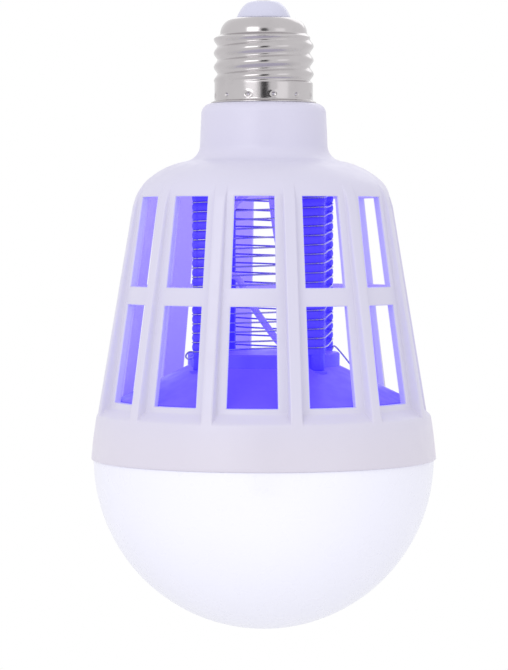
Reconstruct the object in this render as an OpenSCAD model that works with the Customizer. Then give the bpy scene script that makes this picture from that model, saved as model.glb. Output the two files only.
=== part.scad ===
// Insect killer light bulb: a screw-cap lamp whose windowed cage holds a high-voltage winding
// lit by violet lamps, above an opal dome with white lamps.
// It hangs cap up. The origin is the face of the centre contact, and +Z points into the lampholder.

/* [Screw cap] */
// Radius over the crests of the cap thread
thread_crest_r = 13.05; // [12.6:0.05:13.6]
// Height of a thread crest above its root
thread_depth = 0.95; // [0.6:0.05:1.2]
// Rise of the thread in one turn
thread_pitch = 3.629; // [3:0.001:4.4]
// Turns of thread on the shell
thread_turns = 3.6; // [3:0.1:4.4]
// Turn of the whole thread about the axis
thread_phase = 89.3; // [0:0.1:360]
// Sheet thickness of the shell
shell_wall = 0.35; // [0.25:0.05:0.45]
// Radius of the plain skirt below the thread
skirt_r = 12.85; // [12.6:0.05:13]
// Height of the plain skirt
skirt_h = 4.7; // [3.8:0.1:6]
// How far the turned-out rim stands out from the skirt
rim_reach = 0.9; // [0.5:0.1:1.1]
// Radius of the hole that the insulator passes through
shell_hole_r = 7.2; // [6.6:0.1:8]
// Height of the rounded shoulder above the thread
shell_shoulder_h = 4.1; // [3.4:0.1:5]
// Number of punch marks that crimp the skirt
punch_count = 12; // [8:1:14]
// Radius of one punch mark
punch_r = 0.55; // [0.4:0.05:0.7]
// Height of the punch marks above the rim
punch_rise = 1.6; // [1.3:0.1:2]
// Angle of the first punch mark
punch_phase = 11; // [0:0.5:30]

/* [Contact and insulator] */
// Radius of the contact's flat head
contact_r = 2.4; // [1.9:0.1:3]
// How far the head stands proud of the insulator
contact_proud = 0.2; // [0.1:0.05:0.4]
// Length of the contact's pin
contact_pin_h = 8.6; // [7:0.1:10]
// Radius of the contact's pin
contact_pin_r = 0.9; // [0.7:0.05:1.1]
// Thickness of the contact's head
contact_head_t = 0.45; // [0.35:0.05:0.55]
// Height of the insulator above the shell
insulator_h = 4.3; // [3.6:0.1:5.2]
// Radius of the insulator where its rounded top begins
insulator_top_r = 5.8; // [5:0.1:6.3]
// Height of the insulator's rounded top
crown_h = 1.9; // [1.6:0.1:2.2]
// Reach of the flange that holds the insulator under the shell
insulator_flange_reach = 1.3; // [1.1:0.1:1.5]
// Thickness of that flange
insulator_flange_t = 1.2; // [1:0.1:1.4]
// Length of the insulator's foot below the flange
insulator_foot_h = 1.4; // [1.2:0.1:1.6]

/* [Housing] */
// Wall thickness of the housing
wall = 2.0; // [1.6:0.1:2.4]
// Outer radius of the neck
neck_r = 16.65; // [15.6:0.05:18]
// Height of the straight neck below its rounded collar
neck_h = 8.0; // [6.8:0.1:9.6]
// Radius of the rounded collar at the neck's top
collar_round = 2.7; // [2.2:0.1:3.2]
// Radius of the hollow curve between neck and shoulder
neck_fillet_r = 4.4; // [3.6:0.1:5.2]
// Radius of the flat inner part of the shoulder's curve
shoulder_inner_r = 20.7; // [18:0.1:24]
// Radius of the tight outer part of the shoulder's curve
shoulder_outer_r = 12.6; // [11.8:0.1:14.8]
// How much the recessed panels' curve is tighter than the ribs'
panel_inset = 5.1; // [4.3:0.1:5.6]
// Lean of the ribs from upright
rib_lean = 9.7; // [8.5:0.1:11.5]
// Lean of the recessed panels from upright
panel_lean = 8.07; // [7:0.01:8.4]
// Width of a rib
rib_w = 2.9; // [2.4:0.1:3.4]
// Height of the band below the windows
band_h = 11.5; // [10.8:0.1:13.4]
// How much wider the band's lower edge is than its upper edge
band_flare = 1.42; // [1:0.02:1.7]
// Wall between the band's outside and the bore for the dome's collar
band_wall = 2.65; // [2.3:0.05:3]
// Width of the step that stops the dome's collar and the lamp plate
deck_step_w = 1.75; // [1.5:0.05:2]
// Wall of the spigot that the shell is crimped onto
spigot_wall = 1.5; // [1.3:0.1:1.7]
// Wall beside the grooves of the rails that hold the driver board
rail_wall = 1.2; // [1:0.1:1.4]
// Depth of those rails along the board
rail_d = 3.4; // [2.9:0.1:3.9]

/* [Windows] */
// Number of windows around the cage
window_count = 12; // [10:1:13]
// Angle from the front to the nearest window's middle
window_phase = -4.3; // [-15:0.1:15]
// Width of a window at its upper edge
window_top_w = 10.0; // [8.6:0.1:10.8]
// Width of a window at its lower edge
window_bottom_w = 12.9; // [11:0.1:13.8]
// Height of an upper window
upper_window_h = 22.95; // [19.5:0.05:27]
// Height of the bar between the two rows
bar_h = 4.7; // [3.9:0.1:5.6]
// Height of a lower window
lower_window_h = 25.2; // [21.5:0.1:30]
// Drop from the top of the shoulder's outer curve to the windows
window_drop = 4.5; // [4.2:0.1:5.2]
// Height of the panel strip below a lower window
sill_gap = 1.3; // [1.1:0.1:1.6]
// Height of the sloped sill between panel and band
sill_h = 2.6; // [2.2:0.1:3.1]

/* [Base deck] */
// Height of the deck's edge above the windows' lower edge
deck_rise = 0.2; // [0.1:0.1:0.5]
// Drop from the windows' lower edge to the step that the deck is pushed up against
deck_drop = 3.5; // [3.3:0.1:3.7]
// Gap between the deck's edge and the wall round it
deck_edge_gap = 0.6; // [0.5:0.1:0.8]
// Slope of the deck from level
deck_slope = 25.5; // [23:0.1:27]
// Thickness of the deck
deck_wall = 2.0; // [1.6:0.1:2.4]
// Radius of the raised pedestal
pedestal_r = 19.9; // [17:0.1:20.4]
// Height of the pedestal above the deck
pedestal_h = 3.5; // [3:0.1:4]
// Thickness of the deck's flange
deck_flange_t = 2.0; // [1.6:0.1:2.4]
// Height of the bosses under the posts' feet
foot_boss_h = 4.0; // [3.4:0.1:4.6]
// Wall of those bosses
foot_boss_wall = 0.9; // [0.8:0.1:1]

/* [Winding frame] */
// Half the distance between the posts' columns, side to side
column_x = 15.0; // [13.4:0.1:16.2]
// Half the distance between the columns, front to back
column_y = 13.4; // [11.5:0.1:14.4]
// Turn of the winding frame about the axis
frame_turn = -6; // [-20:0.5:20]
// Radius of a column over its lobes
column_r = 2.2; // [1.9:0.05:2.5]
// Depth of the valleys that hold the wires
lobe_depth = 0.45; // [0.35:0.05:0.5]
// Radius of a column's plain foot
foot_r = 2.0; // [1.7:0.05:2.2]
// Thickness of the posts' webs
web_t = 1.6; // [1.3:0.1:1.9]
// Reach of a post's front and back flanges
flange_reach = 6.0; // [5:0.1:7]
// Radius of the frame's top plate
top_plate_r = 23.6; // [23.2:0.1:25]
// Thickness of the frame's top plate
top_plate_t = 1.8; // [1.5:0.1:2.1]
// Gap between the top plate's edge and the shoulder's wall
top_plate_gap = 2.28; // [1.9:0.02:2.6]
// Radius of the hole in the top plate that the leads pass through
lead_bore_r = 5.2; // [4.4:0.1:5.6]
// Radius of the circle of screws that hold the top plate
boss_ring_r = 18.5; // [17:0.1:19.5]
// Radius of the bosses that take these screws
boss_r = 3.0; // [2.6:0.1:3.4]
// Depth of a frame screw in its boss
frame_screw_grip = 2.4; // [2:0.1:2.8]
// Radius of a frame screw's shank
small_screw_r = 0.85; // [0.75:0.05:0.95]
// Radius of a frame screw's head
small_head_r = 1.9; // [1.7:0.1:2.1]
// Height of a frame screw's head
small_head_h = 1.5; // [1.3:0.1:1.7]

/* [Winding] */
// Radius of a grid wire
wire_r = 0.22; // [0.18:0.01:0.26]
// Distance from one wire to the next
wire_gap = 2.40; // [2.3:0.01:2.6]
// Whole turns of each of the two wires, which then go on for half a turn
wire_turns = 8; // [6:1:8]

/* [Violet lamps] */
// Outer radius of the ring board
uv_board_r = 14; // [12.8:0.1:15]
// Thickness of the ring board
uv_board_t = 1.2; // [1:0.1:1.4]
// Number of violet lamps
uv_lamp_count = 6; // [4:1:8]
// Radius of the ring of violet lamps
uv_lamp_ring_r = 10; // [9:0.1:11]
// Radius of the ring board's hole
uv_hole_r = 5.6; // [5.3:0.1:6]
// Length of a violet lamp
uv_lamp_l = 3.5; // [3:0.1:4]
// Width of a violet lamp
uv_lamp_w = 2.8; // [2.4:0.1:3.2]
// Height of a violet lamp
uv_lamp_h = 0.8; // [0.7:0.1:0.9]

/* [Lamp plate] */
// Thickness of the aluminium plate
plate_t = 1.6; // [1.3:0.1:1.9]
// Number of white lamps in the outer ring
lamp_count = 16; // [14:1:18]
// Radius of the outer ring of white lamps
lamp_ring_r = 24; // [22:0.1:26]
// Radius of the circle of plate screws
screw_ring_r = 34; // [31:0.1:34.4]
// Radius of a plate screw's shank
screw_r = 1.25; // [1.1:0.05:1.4]
// Depth of a plate screw in its boss
plate_screw_grip = 4.6; // [4:0.1:4.8]
// Radius of a plate screw's head
plate_screw_head_r = 2.7; // [2.3:0.1:3]
// Height of a plate screw's head
plate_screw_head_h = 1.7; // [1.5:0.1:1.9]
// Number of plate screws
plate_screw_count = 3; // [3:1:4]
// Radius of the bosses that take these screws
plate_boss_r = 3.2; // [2.8:0.1:3.4]
// Drop from the deck's step to the plate
plate_drop = 3.2; // [2.9:0.1:3.5]
// Radius of the hole that the lamp leads pass through
plate_hole_r = 4.4; // [3.8:0.1:5]
// Width of a white lamp
white_lamp_w = 2.8; // [2.4:0.1:3.2]
// Length of a white lamp
white_lamp_l = 3.5; // [3:0.1:4]
// Height of a white lamp
white_lamp_h = 0.8; // [0.7:0.1:0.9]
// Width of the lamp terminal
terminal_w = 6.0; // [5.2:0.1:6.8]
// Depth of the lamp terminal
terminal_d = 4.0; // [3.4:0.1:4.6]
// Height of the lamp terminal
terminal_h = 3.0; // [2.6:0.1:3.4]
// Half the distance between the terminal's two holes
terminal_pin_x = 1.5; // [1.3:0.1:1.7]

/* [Dome] */
// Wall thickness of the opal dome
dome_wall = 1.6; // [1.3:0.1:1.9]
// Height of the dome's collar inside the band
dome_collar_h = 7.0; // [5.8:0.1:7.4]
// How far the dome's edge lies inside the band's edge
dome_step = 0.65; // [0.55:0.05:0.75]
// Thickness of the ledge between the dome and its collar
dome_ledge_t = 1.8; // [1.5:0.1:2.1]
// Depth to which the collar's lugs snap into the band
dome_snap_depth = 0.4; // [0.3:0.05:0.5]
// Height of the lugs
dome_snap_h = 1.2; // [1:0.1:1.4]
// Height of the lugs above the band's lower edge
dome_snap_z = 2.8; // [2.4:0.1:3.2]

/* [Driver] */
// Thickness of the driver board
board_t = 1.6; // [1.2:0.1:1.9]
// Gap between the board's edges and the bore round it
board_edge_gap = 1.45; // [1.2:0.05:1.7]
// Width along the board's edges that stays free of parts
board_margin = 3.0; // [2.6:0.1:3.4]
// Gap between two parts on the board
part_gap = 0.6; // [0.5:0.05:0.7]
// Height of the lowest parts above the board's lower edge
part_foot_h = 2.4; // [2:0.1:2.8]
// Radius of the input capacitor
input_cap_r = 4.0; // [3.4:0.1:4.4]
// Length of the input capacitor
input_cap_h = 12.0; // [10:0.1:13]
// Radius of the output capacitor
output_cap_r = 3.2; // [2.8:0.1:3.4]
// Length of the output capacitor
output_cap_h = 9.0; // [7.6:0.1:10]
// Depth of the transformer's core
core_d = 9.0; // [7.6:0.1:9.6]
// Thickness of each half of the core
core_t = 2.2; // [1.9:0.1:2.5]
// Height of the winding between the core's halves
coil_h = 5.6; // [4.8:0.1:6.2]
// Width of the bridge rectifier
bridge_w = 4.7; // [4:0.1:5]
// Depth of the bridge rectifier
bridge_d = 2.5; // [2.1:0.1:2.9]
// Height of the bridge rectifier
bridge_h = 4.0; // [3.4:0.1:4.6]
// Height of the bridge rectifier above the collar
bridge_rise = 6.4; // [5.8:0.1:7]
// Width of the driver chip
chip_w = 4.0; // [3.4:0.1:4.6]
// Depth of the driver chip
chip_d = 1.5; // [1.3:0.1:1.7]
// Height of the driver chip
chip_h = 5.0; // [4.2:0.1:5.6]
// Height of the lowest parts in the cap above the collar
cap_part_rise = 1.2; // [1:0.1:1.4]
// Radius of the fuse resistor
fuse_r = 1.5; // [1.3:0.1:1.7]
// Length of the fuse resistor
fuse_h = 7.0; // [6:0.1:8]
// Radius of the bleed resistor
bleed_r = 0.9; // [0.8:0.1:1]
// Length of the bleed resistor
bleed_h = 6.0; // [5:0.1:7]
// Radius of a diode
diode_r = 0.9; // [0.8:0.1:1]
// Length of a diode
diode_h = 4.0; // [3.4:0.1:4.6]
// Number of capacitors in the stack that raises the voltage
stack_cap_count = 3; // [2:1:3]
// Width of a stack capacitor
stack_cap_w = 4.0; // [3.4:0.1:4.6]
// Depth of a stack capacitor
stack_cap_d = 6.0; // [5:0.1:6.6]
// Height of a stack capacitor
stack_cap_h = 2.8; // [2.4:0.1:3.2]

/* [Leads] */
// Radius of a thin lead
lead_r = 0.45; // [0.4:0.05:0.5]
// Radius of a lamp lead over its sleeve
lamp_lead_r = 0.9; // [0.75:0.05:1.05]

/* [Hidden] */
$fn = 96;

fit_gap = 0.1;
press_gap = 0.05;
seat_gap = 0.03;
groove_gap = 0.1;
insulator_seat_gap = 0.55;
bore_spare = 0.5;
snap_gap = 0.2;
eps = 0.01;

// Heights down the axis, from the contact's face at zero
shell_top_z = -contact_proud - insulator_h;
thread_top_z = shell_top_z - shell_shoulder_h;
skirt_top_z = thread_top_z - thread_turns * thread_pitch;
rim_z = skirt_top_z - skirt_h;
collar_z = rim_z - shell_wall;
neck_end_z = collar_z - collar_round - neck_h;

// The shoulder's curves, as slopes below level
fillet_end_slope = 10;
shoulder_mid_slope = 42;
curve_steps = 7;

function outward(slope) = [sin(slope), cos(slope)];
function curve(centre, r, from, to, steps) =
    [for (i = [0:steps]) centre + r * outward(from + (to - from) * i / steps)];
function slope_x(lean) = tan(lean);

fillet_centre = [neck_r + neck_fillet_r, neck_end_z];
fillet_end = fillet_centre - neck_fillet_r * outward(fillet_end_slope);
inner_centre = fillet_end - shoulder_inner_r * outward(fillet_end_slope);
shoulder_mid = inner_centre + shoulder_inner_r * outward(shoulder_mid_slope);
rib_centre = shoulder_mid - shoulder_outer_r * outward(shoulder_mid_slope);
panel_curve_r = shoulder_outer_r - panel_inset;
panel_centre = shoulder_mid - panel_curve_r * outward(shoulder_mid_slope);
rib_start = rib_centre + shoulder_outer_r * outward(90 - rib_lean);
panel_start = panel_centre + panel_curve_r * outward(90 - panel_lean);

window_top_z = shoulder_mid[1] - window_drop;
bar_top_z = window_top_z - upper_window_h;
bar_bottom_z = bar_top_z - bar_h;
window_bottom_z = bar_bottom_z - lower_window_h;
sill_top_z = window_bottom_z - sill_gap;
band_top_z = sill_top_z - sill_h;
band_bottom_z = band_top_z - band_h;

function rib_r_at(z) = rib_start[0] + (rib_start[1] - z) * slope_x(rib_lean);
function panel_r_at(z) = panel_start[0] + (panel_start[1] - z) * slope_x(panel_lean);

band_top_r = rib_r_at(band_top_z);
band_bottom_r = band_top_r + band_flare;
dome_r = band_bottom_r - dome_step;
collar_bore_r = band_bottom_r - band_wall;

// The deck hangs under a step in the band, and the lamp plate under a second step
deck_step_z = window_bottom_z - deck_drop;
deck_bore_r = collar_bore_r - deck_step_w;
plate_z = deck_step_z - plate_drop;
plate_r = collar_bore_r - 2 * fit_gap;
plate_bottom_z = plate_z - plate_t;
deck_edge_r = panel_r_at(deck_step_z) - wall - deck_edge_gap;
deck_edge_z = window_bottom_z + deck_rise;
function deck_z_at(r) = deck_edge_z + (deck_edge_r - r) * tan(deck_slope);
pedestal_top_z = deck_z_at(pedestal_r) + pedestal_h;

// The winding frame hangs from bosses under the shoulder and stands on the deck
function shoulder_wall_z(r) =
    inner_centre[1] + sqrt(pow(shoulder_inner_r - wall, 2) - pow(r - inner_centre[0], 2));
top_plate_z = shoulder_wall_z(top_plate_r + top_plate_gap);
boss_top_z = shoulder_wall_z(boss_ring_r + boss_r) + wall / 2;
top_plate_bottom_z = top_plate_z - top_plate_t;
uv_board_z = top_plate_bottom_z;
ring_board_r = min(uv_board_r, column_x - web_t / 2 - 0.2);
column_ring_r = norm([column_x, column_y]);
foot_z = deck_z_at(column_ring_r) - 0.6;
valley_r = column_r - lobe_depth;
wire_path_r = valley_r + wire_r + 0.06;
wire_lead = 2 * wire_gap;
wire_arc_length = wire_path_r * PI / 2;
wire_lap_length = 4 * (column_x + column_y + wire_arc_length);
wire_start_z = pedestal_top_z + 0.5;
valley_count = 2 * wire_turns + 2;
valley_half_h = wire_r + 0.14;
lobe_half_h = valley_half_h + lobe_depth * 0.8;
small_screw_bore_r = small_screw_r + press_gap;
small_screw_hole_r = small_screw_r + 0.3;
head_gap = 0.4;
foot_boss_bottom_z = foot_z - foot_boss_h;
foot_boss_r = foot_r + foot_boss_wall;
foot_screw_grip = 4.2;

// The driver board stands in grooves on two rails in the neck
neck_bore_r = neck_r - wall;
spigot_r = skirt_r - shell_wall - press_gap;
spigot_bore_r = spigot_r - spigot_wall;
spigot_h = skirt_h - 0.4;
rail_top_z = collar_z - 2.2;
rail_bottom_z = neck_end_z - 1.5;
board_top_z = thread_top_z - 2.6;
board_step_z = collar_z - wall - fit_gap;
board_bottom_z = neck_end_z - 4.6;
board_face = board_t / 2;
board_half_w = neck_bore_r - board_edge_gap;
board_cap_half_w = spigot_bore_r - board_edge_gap;

violet = [0.42, 0.36, 0.98];
violet_dark = [0.30, 0.24, 0.92];
housing_white = [0.85, 0.84, 0.93];
lead_white = [0.80, 0.78, 0.96];
nickel = [0.72, 0.71, 0.71];
board_green = [0.16, 0.42, 0.25];
steel = [0.62, 0.62, 0.68];

// General shapes

function unit(v) = v / norm(v);
function direction(path, i) = unit(path[min(i + 1, len(path) - 1)] - path[max(i - 1, 0)]);
function ring(path, i, r, sides, up) =
    let (along = direction(path, i), side = unit(cross(up, along)), top = cross(along, side))
    [for (k = [0:sides - 1]) path[i] + r * (cos(360 * k / sides) * side + sin(360 * k / sides) * top)];

// A tube of radius r swept along a path; up is a direction that the path never points along
module tube(path, r, sides = 8, up = [0, 1, 0]) {
    rings = len(path);
    polyhedron(
        points = [for (i = [0:rings - 1]) each ring(path, i, r, sides, up)],
        faces = concat(
            [[for (k = [0:sides - 1]) k]],
            [for (i = [0:rings - 2], k = [0:sides - 1])
                let (a = i * sides + k, b = i * sides + (k + 1) % sides)
                each [[a, a + sides, b], [b, a + sides, b + sides]]],
            [[for (k = [sides - 1:-1:0]) (rings - 1) * sides + k]]
        )
    );
}

// A smooth path through hand-placed points
function bend(p, i, t) =
    let (
        a = p[max(i - 1, 0)],
        b = p[i],
        c = p[i + 1],
        d = p[min(i + 2, len(p) - 1)]
    )
    0.5 * (2 * b + (c - a) * t + (2 * a - 5 * b + 4 * c - d) * t * t
        + (3 * b - 3 * c + d - a) * t * t * t);
function smooth_path(p, steps = 4) =
    concat([for (i = [0:len(p) - 2], s = [0:steps - 1]) bend(p, i, s / steps)], [p[len(p) - 1]]);

module around(count, r, phase = 0) {
    for (i = [0:count - 1])
        rotate([0, 0, phase + 360 * i / count]) translate([r, 0, 0]) children();
}

module block(size, centre_xy, low_z) {
    translate([centre_xy[0] - size[0] / 2, centre_xy[1] - size[1] / 2, low_z]) cube(size);
}

module ring_solid(outer_r, inner_r, low_z, high_z) {
    difference() {
        translate([0, 0, low_z]) cylinder(r = outer_r, h = high_z - low_z);
        translate([0, 0, low_z - 1]) cylinder(r = inner_r, h = high_z - low_z + 2);
    }
}

// Screw cap

insulator_top_z = -contact_proud;
insulator_bore_r = contact_pin_r + press_gap;
insulator_flange_r = shell_hole_r + insulator_flange_reach;
insulator_foot_r = shell_hole_r - 0.7;
insulator_neck_r = shell_hole_r - fit_gap;

module centre_contact() {
    color(nickel) {
        rotate_extrude() polygon([
            [0, 0], [contact_r - 0.2, 0], [contact_r, -0.2],
            [contact_r, -contact_head_t], [0, -contact_head_t]
        ]);
        translate([0, 0, -contact_pin_h]) cylinder(r = contact_pin_r, h = contact_pin_h - eps);
    }
}

module cap_insulator() {
    crown_steps = 6;
    seat_r = contact_r + press_gap;
    flat_r = contact_r + 0.7;
    flange_top_z = shell_top_z - shell_wall - insulator_seat_gap;
    flange_bottom_z = flange_top_z - insulator_flange_t;
    foot_bottom_z = flange_bottom_z - insulator_foot_h;
    color(housing_white) rotate_extrude() polygon(concat(
        [[insulator_bore_r, -contact_head_t], [seat_r, -contact_head_t], [seat_r, insulator_top_z]],
        [for (i = [0:crown_steps])
            let (a = 90 * i / crown_steps)
            [flat_r + (insulator_top_r - flat_r) * sin(a), insulator_top_z - crown_h * (1 - cos(a))]],
        [
            [insulator_neck_r, shell_top_z + 0.2],
            [insulator_neck_r, flange_top_z],
            [insulator_flange_r, flange_top_z],
            [insulator_flange_r, flange_bottom_z],
            [insulator_foot_r, flange_bottom_z],
            [insulator_foot_r, foot_bottom_z],
            [insulator_bore_r, foot_bottom_z]
        ]
    ));
}

// Outer radius of the thread at an angle and height: a right-handed rounded wave that fades at both ends
thread_sides = 40;
thread_rows = 31;
join_h = 0.2;
join_inset = 0.06;
shoulder_end_r = thread_crest_r - thread_depth - 0.75;
function fade(t) = t <= 0 ? 0 : t >= 1 ? 1 : t * t * (3 - 2 * t);
function thread_r(angle, z) =
    let (
        down = thread_top_z - z,
        up = z - skirt_top_z,
        root = thread_crest_r - thread_depth,
        wave = root + thread_depth * (0.5 + 0.5 * cos(360 * z / thread_pitch - angle + thread_phase)),
        head = shoulder_end_r + (wave - shoulder_end_r) * fade(down / 1.1)
    )
    skirt_r + (head - skirt_r) * fade(up / 1.1);

// The first and last rows reach a little into the shoulder and the skirt, inside their walls
function thread_point(row, k, skin) =
    let (
        span = (row - 1) / (thread_rows - 2),
        z = thread_top_z + (skirt_top_z - thread_top_z) * min(max(span, 0), 1),
        join = span < 0 ? join_h : span > 1 ? -join_h : 0,
        thin = span <= 0 || span >= 1 ? join_inset : 0,
        a = 360 * k / thread_sides,
        r = thread_r(a, z) - (skin == 0 ? thin : shell_wall - thin)
    )
    [r * cos(a), r * sin(a), z + join];

module shell_thread() {
    n = thread_sides;
    inner = (thread_rows + 1) * n;
    polyhedron(
        points = [for (skin = [0, 1], row = [0:thread_rows], k = [0:n - 1]) thread_point(row, k, skin)],
        faces = [
            for (row = [0:thread_rows - 1], k = [0:n - 1])
                let (a = row * n + k, b = row * n + (k + 1) % n)
                each [
                    [a, b, a + n], [b, b + n, a + n],
                    [inner + a, inner + a + n, inner + b], [inner + b, inner + a + n, inner + b + n]
                ],
            for (k = [0:n - 1])
                let (b = (k + 1) % n, low = thread_rows * n)
                each [
                    [k, inner + k, b], [b, inner + k, inner + b],
                    [low + k, low + b, inner + low + k], [low + b, inner + low + b, inner + low + k]
                ]
        ]
    );
}

module shell_shoulder() {
    steps = 7;
    width = shoulder_end_r - shell_hole_r;
    outer = [for (i = [0:steps])
        let (a = 90 * i / steps)
        [shell_hole_r + width * sin(a), thread_top_z + shell_shoulder_h * cos(a)]];
    inner = [for (i = [steps:-1:0])
        let (a = 90 * i / steps)
        [
            shell_hole_r + (width - shell_wall) * sin(a),
            thread_top_z + (shell_shoulder_h - shell_wall) * cos(a)
        ]];
    rotate_extrude() polygon(concat(outer, inner));
}

module shell_skirt() {
    difference() {
        rotate_extrude() polygon([
            [skirt_r, skirt_top_z], [skirt_r, rim_z + 0.5], [skirt_r + rim_reach, rim_z],
            [skirt_r + rim_reach, collar_z], [skirt_r - shell_wall, collar_z],
            [skirt_r - shell_wall, skirt_top_z]
        ]);
        around(punch_count, skirt_r + punch_r - shell_wall * 0.6, punch_phase)
            translate([0, 0, rim_z + punch_rise]) sphere(r = punch_r, $fn = 24);
    }
}

module screw_shell() {
    color(nickel) {
        shell_shoulder();
        shell_thread();
        shell_skirt();
    }
}

// Housing

function shoulder_outline(inset, outer_r, centre, lean) = concat(
    [for (p = curve(fillet_centre, -(neck_fillet_r + inset), 90, fillet_end_slope, 6)) p],
    curve(inner_centre, shoulder_inner_r - inset, fillet_end_slope + 4, shoulder_mid_slope, 5),
    curve(centre, outer_r - inset, shoulder_mid_slope + 6, 90 - lean, curve_steps)
);

module panel_shell() {
    outer = concat(
        [[neck_r - 0.35, collar_z - collar_round]],
        shoulder_outline(0, panel_curve_r, panel_centre, panel_lean),
        [
            [panel_r_at(sill_top_z), sill_top_z],
            [band_top_r, band_top_z],
            [(band_top_r + band_bottom_r) / 2 + 0.12, (band_top_z + band_bottom_z) / 2],
            [band_bottom_r, band_bottom_z]
        ]
    );
    inner = concat(
        [[neck_bore_r, collar_z - collar_round]],
        shoulder_outline(wall, panel_curve_r, panel_centre, panel_lean),
        [
            [panel_r_at(deck_step_z) - wall, deck_step_z],
            [deck_bore_r, deck_step_z],
            [deck_bore_r, plate_z],
            [collar_bore_r, plate_z],
            [collar_bore_r, band_bottom_z]
        ]
    );
    rotate_extrude() polygon(concat(outer, [for (i = [len(inner) - 1:-1:0]) inner[i]]));
}

// The neck's rounded collar and the spigot that the shell is crimped onto
module neck_collar() {
    low_z = collar_z - collar_round;
    round_r = neck_r - 0.35 - collar_round;
    rotate_extrude() polygon(concat(
        [
            [neck_bore_r, low_z], [neck_bore_r, collar_z - wall], [spigot_bore_r, collar_z - wall],
            [spigot_bore_r, collar_z + spigot_h], [spigot_r, collar_z + spigot_h], [spigot_r, collar_z]
        ],
        [for (a = [0:15:90]) [round_r + collar_round * sin(a), low_z + collar_round * cos(a)]]
    ));
}

module ribs() {
    outer = concat(
        shoulder_outline(0, shoulder_outer_r, rib_centre, rib_lean),
        [[band_top_r, band_top_z]]
    );
    start = shoulder_outline(0.4, panel_curve_r, panel_centre, panel_lean);
    low = [band_top_r - 1.5, band_top_z];
    intersection() {
        rotate_extrude() polygon(concat(
            [for (i = [11:len(outer) - 1]) outer[i]],
            [low],
            [for (i = [len(start) - 1:-1:11]) start[i]]
        ));
        around(window_count, 0, window_phase - 90 + 180 / window_count)
            block([band_bottom_r, rib_w, 70], [band_bottom_r / 2 + 20, 0], band_top_z);
    }
}

function window_w_at(z) =
    let (share = (window_top_z - z) / (window_top_z - window_bottom_z))
    window_top_w + (window_bottom_w - window_top_w) * share;

module window_cut(high_z, low_z) {
    reach = 20;
    translate([panel_start[0] - 6, 0, 0]) rotate([90, 0, 90]) linear_extrude(reach) polygon([
        [-window_w_at(high_z) / 2, high_z], [window_w_at(high_z) / 2, high_z],
        [window_w_at(low_z) / 2, low_z], [-window_w_at(low_z) / 2, low_z]
    ]);
}

module window_cuts() {
    around(window_count, 0, window_phase - 90) {
        window_cut(window_top_z, bar_top_z);
        window_cut(bar_bottom_z, window_bottom_z);
    }
}

module frame_bosses() {
    rotate([0, 0, frame_turn]) around(2, boss_ring_r, 90)
        translate([0, 0, top_plate_z]) cylinder(r = boss_r, h = boss_top_z - top_plate_z);
}

module frame_boss_bores() {
    rotate([0, 0, frame_turn]) around(2, boss_ring_r, 90)
        translate([0, 0, top_plate_z - 1])
            cylinder(r = small_screw_bore_r, h = frame_screw_grip + bore_spare + 1);
}

module board_rails() {
    rail_h = rail_top_z - rail_bottom_z;
    slot = [2 * board_half_w + groove_gap, board_t + groove_gap, rail_h + 2];
    intersection() {
        difference() {
            around(2, neck_bore_r + 1 - rail_d / 2)
                block([rail_d, board_t + groove_gap + 2 * rail_wall, rail_h], [0, 0], rail_bottom_z);
            block(slot, [0, 0], rail_bottom_z - 1);
        }
        translate([0, 0, rail_bottom_z]) cylinder(r = neck_bore_r + wall / 4, h = rail_h);
    }
}

module dome_groove() {
    low_z = band_bottom_z + dome_snap_z - snap_gap;
    high_z = low_z + dome_snap_h + 2 * snap_gap;
    ring_solid(collar_bore_r + dome_snap_depth, collar_bore_r - 1, low_z, high_z);
}

module cage_housing() {
    color(housing_white) difference() {
        union() {
            panel_shell();
            neck_collar();
            ribs();
            frame_bosses();
            board_rails();
        }
        window_cuts();
        frame_boss_bores();
        dome_groove();
    }
}

// Driver

module driver_board() {
    color(board_green) {
        block([2 * board_half_w, board_t, board_step_z - board_bottom_z], [0, 0], board_bottom_z);
        block([2 * board_cap_half_w, board_t, board_top_z - board_step_z + eps], [0, 0],
            board_step_z - eps);
    }
}

// The parts stand on the board in a row: between the diode and the board's middle lies no gap
input_cap_x = -part_gap - input_cap_r;
output_cap_x = 2 * diode_r + part_gap + output_cap_r;
core_w = 2 * (board_half_w - board_margin - stack_cap_w - 2 * part_gap);
coil_r = min(core_w, core_d) / 2 - 0.2;
stack_cap_x = core_w / 2 + 2 * part_gap + stack_cap_w / 2;

// A can with a rolled groove near its foot
module can(r, h, x) {
    groove_z = 1.4;
    groove = 0.3;
    translate([x, -board_face - r, board_bottom_z + part_foot_h]) rotate_extrude() polygon([
        [0, 0], [r - groove, 0], [r, groove], [r, groove_z], [r - groove, groove_z + groove],
        [r, groove_z + 2 * groove], [r, h - groove], [r - groove, h], [0, h]
    ]);
}

module input_capacitor() {
    color([0.10, 0.11, 0.14]) can(input_cap_r, input_cap_h, input_cap_x);
}

module output_capacitor() {
    color([0.13, 0.16, 0.32]) can(output_cap_r, output_cap_h, output_cap_x);
}

module transformer() {
    low_z = board_bottom_z + part_foot_h;
    centre = [0, board_face + core_d / 2];
    color([0.20, 0.20, 0.21]) for (rise = [0, core_t + coil_h])
        block([core_w, core_d, core_t], centre, low_z + rise);
    color([0.92, 0.80, 0.30]) translate([centre[0], centre[1], low_z + core_t - eps])
        cylinder(r = coil_r, h = coil_h + 2 * eps);
}

module bridge_rectifier() {
    color([0.12, 0.12, 0.12])
        block([bridge_w, bridge_d, bridge_h], [0, -board_face - bridge_d / 2], collar_z + bridge_rise);
}

module driver_chip() {
    color([0.12, 0.12, 0.12])
        block([chip_w, chip_d, chip_h], [0, board_face + chip_d / 2], collar_z + cap_part_rise);
}

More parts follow.
